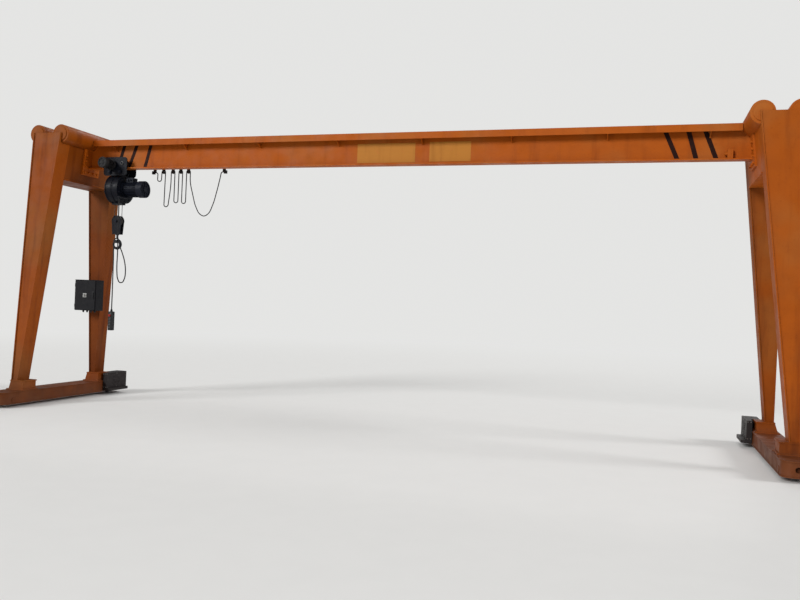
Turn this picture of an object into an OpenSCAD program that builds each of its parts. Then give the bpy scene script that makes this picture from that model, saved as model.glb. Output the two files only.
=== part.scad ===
// Single-girder gantry crane that travels along the floor on four wheels.
// X runs along the girder, Y along the travel direction, Z is up from the floor.
// The origin is on the floor under the girder's middle. All sizes are in millimetres.

/* [Portal] */
// Distance over the outer faces of the two pairs of legs
portal_w = 9960; // [8600:10:12000]
// Height of the leg tops above the floor
leg_top_z = 3850; // [3700:10:4400]

/* [Legs] */
// Leg width along the girder at the foot
leg_foot_w = 106; // [90:1:140]
// Leg width along the girder at the head
leg_head_w = 463; // [440:1:500]
// Leg thickness along the travel direction
leg_t = 222; // [190:1:250]
// Distance from the middle to the outer face of a leg at the foot
leg_foot_y = 921; // [880:1:940]
// Distance from the middle to the outer face of a leg at the head
leg_head_y = 697; // [660:1:740]
// Thickness of the plates of a leg
leg_plate_t = 12; // [8:1:16]
// Overhang of the flange plates past the web plates
leg_lip = 16; // [10:1:22]

/* [Head beams] */
// Depth of a head beam
head_h = 650; // [600:5:700]
// Thickness of the head beam's bottom plate
head_plate_t = 12; // [8:1:16]
// Overhang of the bottom plate towards the girder
head_lip = 10; // [5:1:20]
// Radius of the round tubes on the head beams
tube_r = 130; // [110:1:135]
// Height of the leg tops above the tube axes
tube_drop = 10; // [5:1:30]
// Distance of the inner tube's axis from the head beam's inner face
inner_tube_in = 32; // [20:1:40]
// Distance of the outer tube's axis from the leg's outer face
outer_tube_in = 45; // [35:1:60]
// Height of the raised cap on each tube end
tube_cap_t = 12; // [8:1:20]
// Radius of the raised cap on each tube end
tube_cap_r = 98; // [80:1:105]

/* [Girder] */
// Depth of the rolled beam
beam_h = 400; // [380:1:450]
// Width of the beam's flanges
beam_flange_w = 140; // [130:1:150]
// Thickness of the beam's flanges
beam_flange_t = 16; // [12:1:20]
// Thickness of the beam's web
beam_web_t = 9; // [8:0.5:12]
// Radius of the fillets between web and flanges
beam_fillet_r = 14; // [8:1:18]
// Width of the channel on top of the beam
cap_w = 250; // [220:1:280]
// Depth of the channel on top of the beam
cap_h = 86; // [70:1:100]
// Thickness of the channel's web
cap_t = 8; // [6:1:12]
// Thickness of the channel's flanges
cap_lip_t = 10; // [8:1:14]
// Distance from the leg tops down to the top of the channel
girder_drop = 2; // [0:1:10]
// Distance between the gussets under the channel
gusset_pitch = 1165; // [900:5:1165]
// Thickness of a gusset
gusset_t = 10; // [6:1:14]
// Height of a gusset at the web
gusset_h = 120; // [90:1:150]
// Thickness of the plate on each end of the girder
end_plate_t = 22; // [16:1:30]
// Width of the plate on each end of the girder
end_plate_w = 360; // [300:5:400]
// Height of the plate on each end of the girder
end_plate_h = 508; // [460:1:540]

/* [Sills and wheels] */
// Length of a sill along the travel direction
sill_l = 2580; // [2520:10:2700]
// Width of a sill
sill_w = 320; // [300:5:350]
// Height of the sill's underside above the floor
sill_bottom_z = 50; // [40:1:60]
// Height of the sill's top above the floor
sill_top_z = 215; // [212:1:235]
// Thickness of the sill's top and bottom plates
sill_plate_t = 12; // [10:1:14]
// Overhang of the top and bottom plates
sill_lip = 8; // [6:1:10]
// Radius of the sill's corners in plan
sill_corner_r = 110; // [80:1:130]
// Distance of the sill's outer face outside the legs
sill_outset = 85; // [75:1:100]
// Wheel radius
wheel_r = 100; // [96:1:102]
// Wheel width
wheel_w = 80; // [60:1:90]
// Distance of the wheel axles from the middle
wheel_y = 1100; // [1090:5:1120]
// Radius of a wheel axle
axle_r = 25; // [20:1:30]
// Running clearance of a wheel on its axle
axle_fit = 0.05; // [0.02:0.01:0.1]
// Room around a wheel in its slot
wheel_gap = 8; // [7:0.5:9]
// Radius of the buffer hole in each end of a sill
buffer_hole_r = 30; // [20:1:34]
// Depth of the buffer hole in each end of a sill
buffer_hole_l = 60; // [40:1:65]
// Height of a foot between sill and leg
foot_h = 135; // [110:1:160]
// Width of a foot along the girder
foot_w = 280; // [250:1:290]
// Length of a foot along the travel direction
foot_l = 283; // [270:1:295]
// Distance of the foot's outer face outside the leg
foot_outset = 12; // [5:1:18]
// Thickness of the foot's top and bottom plates
foot_plate_t = 16; // [10:1:20]
// Distance of the foot's walls inside its plates
foot_inset = 18; // [10:1:24]
// Distance of the foot's top plate outside the leg
foot_top_out = 10; // [6:1:14]

/* [Travel drives] */
// Length of a drive cover along the travel direction
drive_l = 500; // [400:5:560]
// Height of a drive cover's top above the sill
drive_top = 130; // [110:1:180]
// Distance that a drive cover stands inside the sill
drive_out = 65; // [55:1:100]
// Distance that a drive cover reaches over the sill
drive_over = 115; // [80:1:140]
// Height of the drive's tray above the floor
tray_z = 64; // [63:1:90]
// Thickness of the drive's tray
tray_t = 38; // [30:1:45]
// Distance that the tray stands outside its cover
tray_lip = 58; // [40:1:70]

/* [Trolley] */
// Distance of the end stops' buffers from the head beams
stop_gap = 280; // [270:5:600]
// Distance of the trolley from its left end stop
hoist_rest = 12; // [12:1:7912]
// Length of an end stop's block
stop_l = 60; // [40:1:80]
// Height of an end stop's block
stop_h = 110; // [95:1:130]
// Distance of an end stop's block from the edge of the flange
stop_inset = 8; // [4:1:12]
// Length of an end stop's rubber buffer
buffer_l = 30; // [20:1:45]
// Radius of an end stop's rubber buffer
buffer_r = 18; // [14:1:20]
// Length of the trolley's side plates
trolley_l = 390; // [360:5:420]
// Thickness of the trolley's side plates
trolley_t = 12; // [8:1:16]
// Distance of a side plate from the edge of the girder's flange
trolley_side = 34; // [30:1:40]
// Height of a side plate above its axles
trolley_up = 89; // [80:1:100]
// Distance that a side plate hangs below the girder
trolley_down = 110; // [95:1:130]
// Radius of a trolley wheel's tread
truck_wheel_r = 55; // [50:1:60]
// Distance of the trolley axles from the trolley's middle
truck_wheel_x = 115; // [100:1:125]
// Radius of a trolley axle
truck_axle_r = 15; // [12:1:18]
// Radius of the tie bars under the girder
tie_r = 18; // [14:1:22]
// Distance of the tie bars below the girder
tie_drop = 55; // [50:1:65]
// Distance of the tie bars from the trolley's middle
tie_x = 85; // [70:1:85]
// Radius of the trolley motor
truck_motor_r = 78; // [70:1:82]
// Distance that the trolley motor stands out from its side plate
truck_motor_l = 240; // [220:5:250]
// Distance of the trolley motor's axis from the trolley's middle
truck_motor_in = 46; // [40:1:50]
// Distance of the trolley motor's axis below the trolley's axles
truck_motor_down = 27; // [20:1:30]
// Number of cooling fins on the trolley motor
truck_motor_fins = 24; // [16:2:32]

/* [Hoist] */
// Radius of the drum casing
casing_r = 205; // [190:1:215]
// Length of the drum casing
casing_l = 210; // [200:5:250]
// Distance of the casing's axis below the tie bars
casing_drop = 245; // [240:1:260]
// Radius of the gearbox
gearbox_r = 120; // [100:1:140]
// Length of the gearbox
gearbox_l = 65; // [50:1:80]
// Radius of the hoist motor's cowl
motor_r = 122; // [110:1:135]
// Length of the hoist motor
motor_l = 340; // [300:5:360]
// Number of cooling fins on the hoist motor
motor_fins = 28; // [16:2:36]
// Radius of the rope
rope_r = 4.5; // [4:0.5:6]
// Distance of the gland for the pendant cable from the drum casing
gland_out = 75; // [70:1:90]
// Distance that the gland for the pendant cable stands before the drum casing
gland_front = 30; // [25:1:40]
// Length and width of the terminal box on the hoist motor
lid_l = 110; // [90:1:130]
// Height of the terminal box above the motor's cowl
lid_h = 44; // [30:1:55]
// Distance of the terminal box from the motor's flange
lid_in = 50; // [40:1:60]
// Distance of the sheave axle below the rope's exit from the hoist
hook_drop = 270; // [250:5:2000]
// Distance of the crosshead's underside below the sheave axle
cross_drop = 195; // [175:1:210]
// Radius of the sheave at the middle of the rope
sheave_r = 62; // [58:1:70]
// Thickness of the sheave
sheave_w = 34; // [28:1:36]
// Radius of the hook's shank
shank_r = 14; // [12:1:16]

/* [Control panel] */
// Width of the control panel
panel_w = 380; // [320:5:390]
// Height of the control panel
panel_h = 470; // [400:5:520]
// Depth of the control panel
panel_d = 200; // [160:5:250]
// Height of the panel's underside above the floor
panel_z = 1330; // [1200:10:1500]

/* [Festoon and pendant] */
// Distance of the festoon track behind the girder
track_y = 300; // [280:1:320]
// Height of the festoon track's underside above the girder's underside
track_up = 60; // [55:1:70]
// Width and height of the festoon track
track_w = 40; // [36:1:50]
// Distance of the festoon track's ends from the head beams
track_gap = 317; // [300:1:700]
// Distance of the outer track brackets from the track's ends
bracket_in = 300; // [100:10:600]
// Distance of the first cable trolley from the hoist
festoon_in = 390; // [380:5:600]
// Bend radius of the festoon cable over a cable trolley's saddle
saddle_bend = 31; // [29:1:34]
// Radius of the festoon cable
festoon_r = 7; // [5:0.5:7]
// Radius of the pendant cable
pendant_r = 8; // [6:0.5:8]
// Height of the pendant's body
pendant_h = 270; // [220:5:320]

/* [Hidden] */
$fn = 64;
// Clearance between pieces that are seated on each other
seat = 0.3;
portal_x = portal_w / 2;
head_in_x = portal_x - leg_head_w;
foot_z = sill_top_z + foot_h;
head_z = leg_top_z - head_h;
tube_z = leg_top_z - tube_drop;
tube_end_y = leg_head_y - leg_lip - leg_plate_t - 2;
tube_xs = [head_in_x + inner_tube_in, portal_x - outer_tube_in];
girder_top_z = leg_top_z - girder_drop;
beam_top_z = girder_top_z - cap_t;
beam_z = beam_top_z - beam_h;
flange_top_z = beam_z + beam_flange_t;
cap_x = tube_xs[0] - tube_r - 5;
cap_lip_z = girder_top_z - cap_h;
sill_out_x = portal_x + sill_outset;
sill_in_x = sill_out_x - sill_w;
sill_x = sill_out_x - sill_w / 2;
wheel_x = sill_x;
slot_w = wheel_w + 12;
web_l = sill_l - 2 * sill_lip;
foot_out_y = leg_foot_y + foot_outset;
drive_y1 = sill_l / 2 - 40;
drive_y0 = drive_y1 - drive_l;
drive_top_z = sill_top_z + drive_top;
stop_x = head_in_x - stop_gap;
hoist_x = -stop_x + hoist_rest + trolley_l / 2;
truck_axle_z = flange_top_z + seat + truck_wheel_r;
truck_axle_l = 10;
plate_in_y = beam_flange_w / 2 + trolley_side;
plate_out_y = plate_in_y + trolley_t;
tie_z = beam_z - tie_drop;
casing_z = tie_z - casing_drop;
casing_x0 = hoist_x - casing_l / 2;
casing_x1 = hoist_x + casing_l / 2;
guide_z = casing_z - casing_r - 20;
rope_top_z = guide_z + 30;
block_z = rope_top_z - hook_drop;
cheek_y = sheave_w / 2 + 10;
cheek_t = 12;
cross_z = block_z - cross_drop;
cross_h = 50;
hook_z = cross_z - seat;
truck_motor_z = truck_axle_z - truck_motor_down;
track_l = 2 * (head_in_x - track_gap);
track_z = beam_z + track_up;
saddle_z = track_z - 60;
saddle_r = (saddle_bend - festoon_r) * cos(22.5) - seat;
festoon_x = hoist_x + festoon_in;
gland = [casing_x1 + gland_out, -casing_r - gland_front, guide_z + 60];
pendant_top = gland + [-30, -27, -1625];

// Route of the festoon cable, as X from its first trolley and Z from the axis of the saddles
festoon_xz = [
    [0, -2], [18, -2], [34, -24], [40, -60], [50, -110], [75, -140],
    [100, -110], [111, -60], [119, 0], [128, 22], [150, 31], [172, 22],
    [181, 0], [178, -190], [170, -390], [178, -470], [210, -515], [245, -480],
    [265, -390], [278, -190], [279, 0], [288, 22], [310, 31], [332, 22],
    [341, 0], [341, -430], [351, -454], [375, -464], [399, -454], [409, -430],
    [409, 0], [418, 22], [440, 31], [462, 22], [471, 0], [471, -440],
    [481, -464], [505, -474], [529, -464], [539, -440], [539, 0], [548, 22],
    [570, 31], [592, 22], [601, 0], [616, -140], [655, -330], [720, -520],
    [790, -620], [860, -645], [925, -610], [990, -490], [1050, -290], [1095, -100],
    [1116, -24], [1138, -2], [1160, -2],
];
// Places of the cable trolleys from the first one: the outer two hold the cable's ends
festoon_ends = [0, 1160];
festoon_saddles = [150, 310, 440, 570];

// Route of the pendant cable from its gland, with its spare length in a tied loop
pendant_route = [
    [0, 0, 0], [0, 0, -75], [2, 0, -475], [8, 0, -635], [10, 0, -795],
    [8, 0, -935], [14, -1, -1055], [34, -3, -1155], [70, -5, -1203], [115, -8, -1201],
    [152, -11, -1145], [166, -14, -1045], [150, -17, -915], [105, -19, -785], [60, -21, -685],
    [35, -23, -605], [2, -25, -573], [-30, -27, -605], [-38, -27, -695], [-34, -27, -875],
    [-30, -27, -1375], [-30, -27, -1535], [-30, -27, -1585],
];

// Centre line of the hook below its shoulder, as X, Z and radius
hook_curve = [
    [0, 0, 18], [0, -40, 18], [16, -66, 19], [47, -93, 22], [60, -134, 25], [44, -175, 27],
    [0, -194, 26], [-42, -178, 21], [-62, -142, 15], [-66, -112, 10],
];

orange = [0.80, 0.35, 0.12];
dark_grey = [0.16, 0.18, 0.22];
steel = [0.55, 0.55, 0.57];
panel_grey = [0.42, 0.46, 0.50];
black = [0.06, 0.06, 0.07];

// Helpers
function head_in(z) = head_in_x + (portal_x - leg_foot_w - head_in_x) * (leg_top_z - z) / (leg_top_z - foot_z);
function leg_out_y(z) = leg_foot_y + (leg_head_y - leg_foot_y) * (z - foot_z) / (leg_top_z - foot_z);
function unit(v) = v / norm(v);
function tangent(p, i) =
    i == 0 ? unit(p[1] - p[0]) :
    i == len(p) - 1 ? unit(p[i] - p[i - 1]) :
    unit(unit(p[i + 1] - p[i]) + unit(p[i] - p[i - 1]));
function ring(p, i, r, n) =
    let (t = tangent(p, i), a = unit(cross(t, [0, 1, 0])), b = cross(t, a))
    [for (k = [0 : n - 1]) p[i] + r * (cos(360 * k / n) * a + sin(360 * k / n) * b)];
function smooth(a, b, c, d, t) =
    0.5 * (2 * b + (c - a) * t + (2 * a - 5 * b + 4 * c - d) * t * t + (3 * b - a - 3 * c + d) * t * t * t);
function smooth_path(p, steps) = concat(
    [for (i = [0 : len(p) - 2], s = [0 : steps - 1])
        smooth(p[max(i - 1, 0)], p[i], p[i + 1], p[min(i + 2, len(p) - 1)], s / steps)],
    [p[len(p) - 1]]);

// A tube along the points p with the radius radii[i] at each of them
module sweep(p, radii, n) {
    last = len(p) - 1;
    polyhedron(
        points = [for (i = [0 : last]) each ring(p, i, radii[i], n)],
        faces = concat(
            [[for (k = [0 : n - 1]) k]],
            [for (i = [0 : last - 1], k = [0 : n - 1])
                [i * n + k, (i + 1) * n + k, (i + 1) * n + (k + 1) % n, i * n + (k + 1) % n]],
            [[for (k = [0 : n - 1]) last * n + n - 1 - k]]));
}
module along_x(x0, x1) translate([x0, 0, 0]) rotate([90, 0, 90]) linear_extrude(x1 - x0) children();
module along_y(y0, y1) translate([0, y1, 0]) rotate([90, 0, 0]) linear_extrude(y1 - y0) children();
module block(a, b) translate(a) cube(b - a);
module rod_x(x0, x1, r) translate([x0, 0, 0]) rotate([0, 90, 0]) cylinder(h = x1 - x0, r = r);
module rod_y(y0, y1, r) translate([0, y0, 0]) rotate([-90, 0, 0]) cylinder(h = y1 - y0, r = r);
module corner(sx, sy) mirror([sx < 0 ? 1 : 0, 0, 0]) mirror([0, sy < 0 ? 1 : 0, 0]) children();
module round_rect(w, l, r) {
    square([w - 2 * r, l], center = true);
    square([w, l - 2 * r], center = true);
    for (x = [-1, 1], y = [-1, 1]) translate([x * (w / 2 - r), y * (l / 2 - r)]) circle(r);
}

module fin_profile(r, count) {
    circle(r - 16);
    for (k = [0 : count - 1]) rotate(360 * k / count) translate([r - 22, -2.5]) square([22, 5]);
}

// Girder
module beam_profile() {
    half = beam_web_t / 2;
    in_h = beam_h - 2 * beam_flange_t;
    for (z = [beam_z, beam_top_z - beam_flange_t])
        translate([-beam_flange_w / 2, z]) square([beam_flange_w, beam_flange_t]);
    translate([-half, beam_z]) square([beam_web_t, beam_h]);
    translate([0, beam_z + beam_h / 2]) difference() {
        square([beam_web_t + 2 * beam_fillet_r, in_h], center = true);
        for (s = [-1, 1]) {
            translate([s * (half + beam_fillet_r), 0])
                square([2 * beam_fillet_r, in_h - 2 * beam_fillet_r], center = true);
            for (v = [-1, 1])
                translate([s * (half + beam_fillet_r), v * (in_h / 2 - beam_fillet_r)])
                    circle(beam_fillet_r);
        }
    }
}
module tube_room() {
    for (s = [-1, 1]) translate([s * tube_xs[0], 0, tube_z])
        rod_y(-tube_end_y, tube_end_y, tube_r + seat);
}
module main_girder() {
    end_low = head_in(beam_z) - end_plate_t;
    end_top = head_in(beam_top_z) - end_plate_t;
    color(orange) difference() {
        intersection() {
            along_x(-end_low, end_low) beam_profile();
            along_y(-beam_flange_w, beam_flange_w) polygon([[-end_low, beam_z], [end_low, beam_z],
                [end_top, beam_top_z], [-end_top, beam_top_z]]);
        }
        tube_room();
    }
}
module girder_cap() {
    color(orange) along_x(-cap_x, cap_x) difference() {
        translate([-cap_w / 2, cap_lip_z]) square([cap_w, cap_h]);
        translate([-cap_w / 2 + cap_lip_t, cap_lip_z - 1]) square([cap_w - 2 * cap_lip_t, cap_h - cap_t + 1]);
    }
}
module girder_gussets() {
    count = floor(cap_x / gusset_pitch + 0.5);
    top_z = beam_top_z - beam_flange_t;
    in_y = beam_web_t / 2 + beam_fillet_r + 1;
    out_y = cap_w / 2 - cap_lip_t;
    color(orange) for (k = [0 : count - 1], sx = [-1, 1], sy = [-1, 1]) corner(sx, sy)
        translate([(k + 0.5) * gusset_pitch, 0, 0]) along_x(-gusset_t / 2, gusset_t / 2)
            polygon([[in_y, top_z], [in_y, top_z - gusset_h], [out_y, cap_lip_z], [out_y, top_z]]);
}
module girder_end_plates() {
    z0 = girder_top_z - end_plate_h;
    color(orange) difference() {
        for (s = [-1, 1]) corner(s, 1) along_y(-end_plate_w / 2, end_plate_w / 2)
            polygon([[head_in(z0) - end_plate_t, z0], [head_in(z0), z0],
                [head_in(girder_top_z), girder_top_z], [head_in(girder_top_z) - end_plate_t, girder_top_z]]);
        tube_room();
    }
}
module trolley_end_stops() {
    x0 = stop_x + buffer_l;
    y0 = beam_web_t / 2 + beam_fillet_r + seat;
    y1 = beam_flange_w / 2 - stop_inset;
    color(dark_grey) for (sx = [-1, 1], sy = [-1, 1]) corner(sx, sy) {
        block([x0, y0, flange_top_z], [x0 + stop_l, y1, flange_top_z + stop_h]);
        translate([0, (y0 + y1) / 2, truck_axle_z]) rod_x(stop_x, x0 + 1, buffer_r);
    }
}

// Head beams and their tubes
module head_beam(s) {
    inner_y = leg_out_y(head_z) - leg_t;
    slope_y = leg_head_y - leg_t;
    plate_y = leg_out_y(head_z + head_plate_t) - leg_t;
    color(orange) corner(s, 1) difference() {
        union() {
            intersection() {
                along_x(head_in_x, portal_x)
                    polygon([[-inner_y, head_z], [inner_y, head_z], [slope_y, leg_top_z], [-slope_y, leg_top_z]]);
                along_y(-inner_y, inner_y) polygon([[head_in(head_z), head_z], [portal_x, head_z],
                    [portal_x, leg_top_z], [head_in_x, leg_top_z]]);
            }
            block([head_in(head_z) - head_lip, -plate_y, head_z], [portal_x, plate_y, head_z + head_plate_t]);
        }
        for (x = tube_xs) translate([x, 0, tube_z]) rod_y(-tube_end_y, tube_end_y, tube_r + seat);
    }
}
module left_head_beam() head_beam(-1);
module right_head_beam() head_beam(1);
module head_tubes(s) {
    color(orange) corner(s, 1) for (x = tube_xs) translate([x, 0, tube_z]) {
        rod_y(-tube_end_y + tube_cap_t, tube_end_y - tube_cap_t, tube_r);
        rod_y(-tube_end_y, tube_end_y, tube_cap_r);
    }
}
module left_head_tubes() head_tubes(-1);
module right_head_tubes() head_tubes(1);

// Legs
module leg_side(y_out, y_in) {
    polygon([[leg_foot_y - y_out, foot_z], [leg_head_y - y_out, leg_top_z],
        [leg_head_y - leg_t + y_in, leg_top_z], [leg_foot_y - leg_t + y_in, foot_z]]);
}
module leg_front(x_out, x_in) {
    polygon([[portal_x - x_out, foot_z], [portal_x - x_out, leg_top_z],
        [head_in_x + x_in, leg_top_z], [portal_x - leg_foot_w + x_in, foot_z]]);
}
module leg(sx, sy) {
    color(orange) corner(sx, sy) difference() {
        union() {
            intersection() {
                along_y(0, leg_foot_y) leg_front(0, 0);
                along_x(head_in_x, portal_x) leg_side(leg_lip, leg_lip);
            }
            intersection() {
                along_y(0, leg_foot_y) difference() {
                    leg_front(0, 0);
                    leg_front(leg_plate_t, leg_plate_t);
                }
                along_x(head_in_x, portal_x) leg_side(0, 0);
            }
        }
        for (x = tube_xs) translate([x, 0, tube_z]) rod_y(0, tube_end_y + seat, tube_r + seat);
    }
}
module left_front_leg() leg(-1, -1);
module left_rear_leg() leg(-1, 1);
module right_front_leg() leg(1, -1);
module right_rear_leg() leg(1, 1);

// Feet between legs and sills
module feet(sx) {
    color(orange) for (sy = [-1, 1]) corner(sx, sy) {
        x0 = sill_x - foot_w / 2;
        x1 = sill_x + foot_w / 2;
        y0 = foot_out_y - foot_l;
        i = foot_inset;
        block([x0, y0, sill_top_z], [x1, foot_out_y, sill_top_z + foot_plate_t]);
        along_y(y0 + i, foot_out_y - i) polygon([[x0 + i, sill_top_z], [x1 - i, sill_top_z],
            [portal_x + foot_top_out / 2, foot_z], [x0 + i, foot_z]]);
        block([x0 + i / 2, y0 + i / 2, foot_z - foot_plate_t],
            [portal_x + foot_top_out, foot_out_y - i / 2, foot_z]);
    }
}
module left_feet() feet(-1);
module right_feet() feet(1);

// Sills, wheels and axles
module sill(s) {
    color(orange) corner(s, 1) difference() {
        translate([sill_x, 0, 0]) {
            translate([0, 0, sill_bottom_z]) linear_extrude(sill_top_z - sill_bottom_z)
                round_rect(sill_w - 2 * sill_lip, web_l, sill_corner_r - sill_lip);
            for (z = [sill_bottom_z, sill_top_z - sill_plate_t])
                translate([0, 0, z]) linear_extrude(sill_plate_t) round_rect(sill_w, sill_l, sill_corner_r);
        }
        for (y = [-1, 1]) {
            block([wheel_x - slot_w / 2, y * wheel_y - wheel_r - wheel_gap, sill_bottom_z - 1],
                [wheel_x + slot_w / 2, y * wheel_y + wheel_r + wheel_gap, 2 * wheel_r + wheel_gap]
                - [0, 0, 1]);
            translate([0, y * wheel_y, wheel_r]) rod_x(sill_in_x, sill_out_x, axle_r + seat);
        }
        translate([sill_x, 0, (sill_bottom_z + sill_top_z) / 2]) {
            rod_y(-web_l / 2 - 1, -web_l / 2 + buffer_hole_l, buffer_hole_r);
            rod_y(web_l / 2 - buffer_hole_l, web_l / 2 + 1, buffer_hole_r);
        }
    }
}
module left_sill() sill(-1);
module right_sill() sill(1);
module wheel(sx, sy) {
    half = wheel_w / 2;
    bore = axle_r + axle_fit;
    color(steel) translate([sx * wheel_x, sy * wheel_y, wheel_r]) rotate([0, 90, 0])
        rotate_extrude() polygon([[bore, -half - 3], [bore + 20, -half - 3], [bore + 22, -half + 14],
            [wheel_r - 24, -half + 12], [wheel_r - 20, -half], [wheel_r - 5, -half], [wheel_r, -half + 5],
            [wheel_r, half - 5], [wheel_r - 5, half], [wheel_r - 20, half], [wheel_r - 24, half - 12],
            [bore + 22, half - 14], [bore + 20, half + 3], [bore, half + 3]]);
}
module left_front_wheel() wheel(-1, -1);
module left_rear_wheel() wheel(-1, 1);
module right_front_wheel() wheel(1, -1);
module right_rear_wheel() wheel(1, 1);
module axles(sx) {
    head_r = axle_r + 12;
    color(steel) for (sy = [-1, 1]) corner(sx, sy) translate([0, wheel_y, wheel_r]) {
        rod_x(sill_in_x + sill_lip - 5, sill_out_x - sill_lip + 5, axle_r);
        rod_x(sill_in_x + sill_lip - 6, sill_in_x + sill_lip, head_r);
        rod_x(sill_out_x - sill_lip, sill_out_x - sill_lip + 6, head_r);
    }
}
module left_axles() axles(-1);
module right_axles() axles(1);

// Travel drives on the rear wheels
module travel_drive(sx) {
    in_x = sill_in_x - drive_out;
    tray_top = tray_z + tray_t;
    color(dark_grey) corner(sx, 1) {
        along_y(foot_out_y + seat, drive_y1) polygon([[in_x, tray_top], [in_x, drive_top_z],
            [sill_in_x + drive_over, drive_top_z], [sill_in_x + drive_over, sill_top_z],
            [sill_in_x, sill_top_z], [sill_in_x, tray_top]]);
        block([in_x, drive_y0, tray_top], [sill_in_x - seat, foot_out_y + 1, drive_top_z]);
        translate([0, 0, tray_z]) linear_extrude(tray_t) difference() {
            translate([(in_x - tray_lip + sill_in_x) / 2, (drive_y0 + drive_y1) / 2])
                round_rect(drive_out + tray_lip, drive_l, 45);
            translate([sill_in_x, 0]) square([100, sill_l]);
        }
        block([sill_in_x - 46, drive_y0, tray_z], [sill_in_x, drive_y1, tray_top]);
    }
}
module left_travel_drive() travel_drive(-1);
module right_travel_drive() travel_drive(1);

// Trolley on the girder's bottom flange
module trolley_frame() {
    plate_h = trolley_down + beam_flange_t + seat + truck_wheel_r + trolley_up;
    color(dark_grey) translate([hoist_x, 0, 0]) {
        for (s = [-1, 1]) corner(1, s) difference() {
            along_y(plate_in_y, plate_out_y) translate([0, beam_z - trolley_down + plate_h / 2])
                round_rect(trolley_l, plate_h, 45);
            for (x = [-1, 1]) translate([x * truck_wheel_x, 0, truck_axle_z])
                rod_y(plate_in_y - 1, plate_out_y + 1, truck_axle_r + seat);
        }
        for (x = [-1, 1]) translate([x * tie_x, 0, tie_z]) {
            rod_y(-plate_out_y - 18, plate_out_y + 18, tie_r);
            for (s = [-1, 1]) corner(1, s) rod_y(plate_out_y, plate_out_y + 14, tie_r + 12);
        }
    }
}
module trolley_wheels() {
    web_y = beam_flange_w / 2 - 38;
    rim_y = beam_flange_w / 2 + 5.5;
    color(steel) for (x = [-1, 1], s = [-1, 1])
        translate([hoist_x + x * truck_wheel_x, 0, truck_axle_z]) corner(1, s) {
            rod_y(web_y, rim_y + 1, truck_wheel_r);
            rod_y(rim_y, rim_y + 12, truck_wheel_r + 9);
            rod_y(rim_y + 11, plate_in_y - seat, truck_axle_r + 14);
            rod_y(plate_in_y - 1, plate_out_y + truck_axle_l - 2, truck_axle_r);
            rod_y(plate_out_y + seat, plate_out_y + truck_axle_l, truck_axle_r + 9);
        }
}
module trolley_motor() {
    gear_l = 66;
    foot_l = truck_axle_l + 6;
    cowl_l = 60;
    r = truck_motor_r;
    color(dark_grey) translate([hoist_x - truck_motor_in, -plate_out_y, truck_motor_z]) rotate([90, 0, 0]) {
        cylinder(h = foot_l + 1, r = 44);
        rotate_extrude() polygon([[0, foot_l], [r - 12, foot_l], [r - 5, foot_l + 7],
            [r - 5, gear_l - 14], [r, gear_l - 12], [r, gear_l], [0, gear_l]]);
        translate([0, 0, gear_l - 1]) linear_extrude(truck_motor_l - gear_l - cowl_l + 2)
            fin_profile(r - 8, truck_motor_fins);
        translate([0, 0, truck_motor_l]) rotate_extrude() polygon([[0, -cowl_l], [r - 3, -cowl_l], [r, -cowl_l + 3],
            [r, -8], [r - 8, 0], [r - 22, 0], [r - 22, -12], [20, -12], [20, -4], [0, -4]]);
    }
}

// Hoist
module drum_casing() {
    lug_y = 45;
    color(dark_grey) difference() {
        union() {
            translate([0, 0, casing_z]) {
                rod_x(casing_x0, casing_x1, casing_r - 7);
                for (x = [casing_x0, casing_x0 + casing_l * 0.45, casing_x1 - 14])
                    rod_x(x, x + 14, casing_r);
            }
            for (x = [-1, 1], s = [-1, 1]) translate([hoist_x + x * tie_x, 0, 0]) corner(1, s)
                along_y(lug_y, lug_y + 14) {
                    translate([-20, casing_z]) square([40, casing_drop]);
                    translate([0, tie_z]) circle(tie_r + 14);
                }
            block([hoist_x - sheave_r - 24, -40, guide_z], [hoist_x + sheave_r + 24, 40, casing_z - casing_r + 55]);
            block(gland + [-22, -20, 20], [gland[0] + 22, -60, gland[2] + 30]);
            block([casing_x1 - 12, gland[1] / 2 - 20, gland[2] + 20], [gland[0] + 22, -60, gland[2] + 30]);
            translate(gland) cylinder(h = 21, r1 = pendant_r + 4, r2 = 18);
        }
        for (x = [-1, 1]) translate([hoist_x + x * tie_x, 0, tie_z]) rod_y(-80, 80, tie_r + seat);
        for (x = [-1, 1]) translate([hoist_x + x * sheave_r, 0, guide_z - 1])
            cylinder(h = rope_top_z - guide_z + 1 + seat, r = rope_r + 6);
    }
}
module hoist_gearbox() {
    color(dark_grey) translate([0, 0, casing_z]) {
        translate([casing_x0 - seat, 0, 0]) rotate([0, -90, 0]) rotate_extrude() polygon([[0, 0],
            [gearbox_r, 0], [gearbox_r, 16], [gearbox_r - 12, 20], [gearbox_r - 22, gearbox_l - 10],
            [gearbox_r - 34, gearbox_l], [0, gearbox_l]]);
    }
}
module hoist_motor() {
    x0 = casing_x1 + seat;
    cowl_l = 90;
    color(dark_grey) translate([0, 0, casing_z]) {
        rod_x(x0, x0 + 24, motor_r - 4);
        along_x(x0 + 23, x0 + motor_l - cowl_l + 1) fin_profile(motor_r - 8, motor_fins);
        difference() {
            rod_x(x0 + motor_l - cowl_l, x0 + motor_l, motor_r);
            rod_x(x0 + motor_l - 14, x0 + motor_l + 1, motor_r - 14);
        }
        translate([x0 + motor_l - 15, 0, 0]) {
            rod_x(0, 12, 34);
            for (k = [0 : 3]) rotate([45 * k, 0, 0]) block([0, -motor_r + 8, -4], [10, motor_r - 8, 4]);
        }
        block([x0 + lid_in, -lid_l / 2, motor_r - 26], [x0 + lid_in + lid_l, lid_l / 2, motor_r + lid_h]);
    }
}
module hoist_ropes() {
    color(steel) for (x = [-1, 1]) translate([hoist_x + x * sheave_r, 0, block_z + seat])
        cylinder(h = rope_top_z - block_z - seat, r = rope_r, $fn = 24);
}
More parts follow.
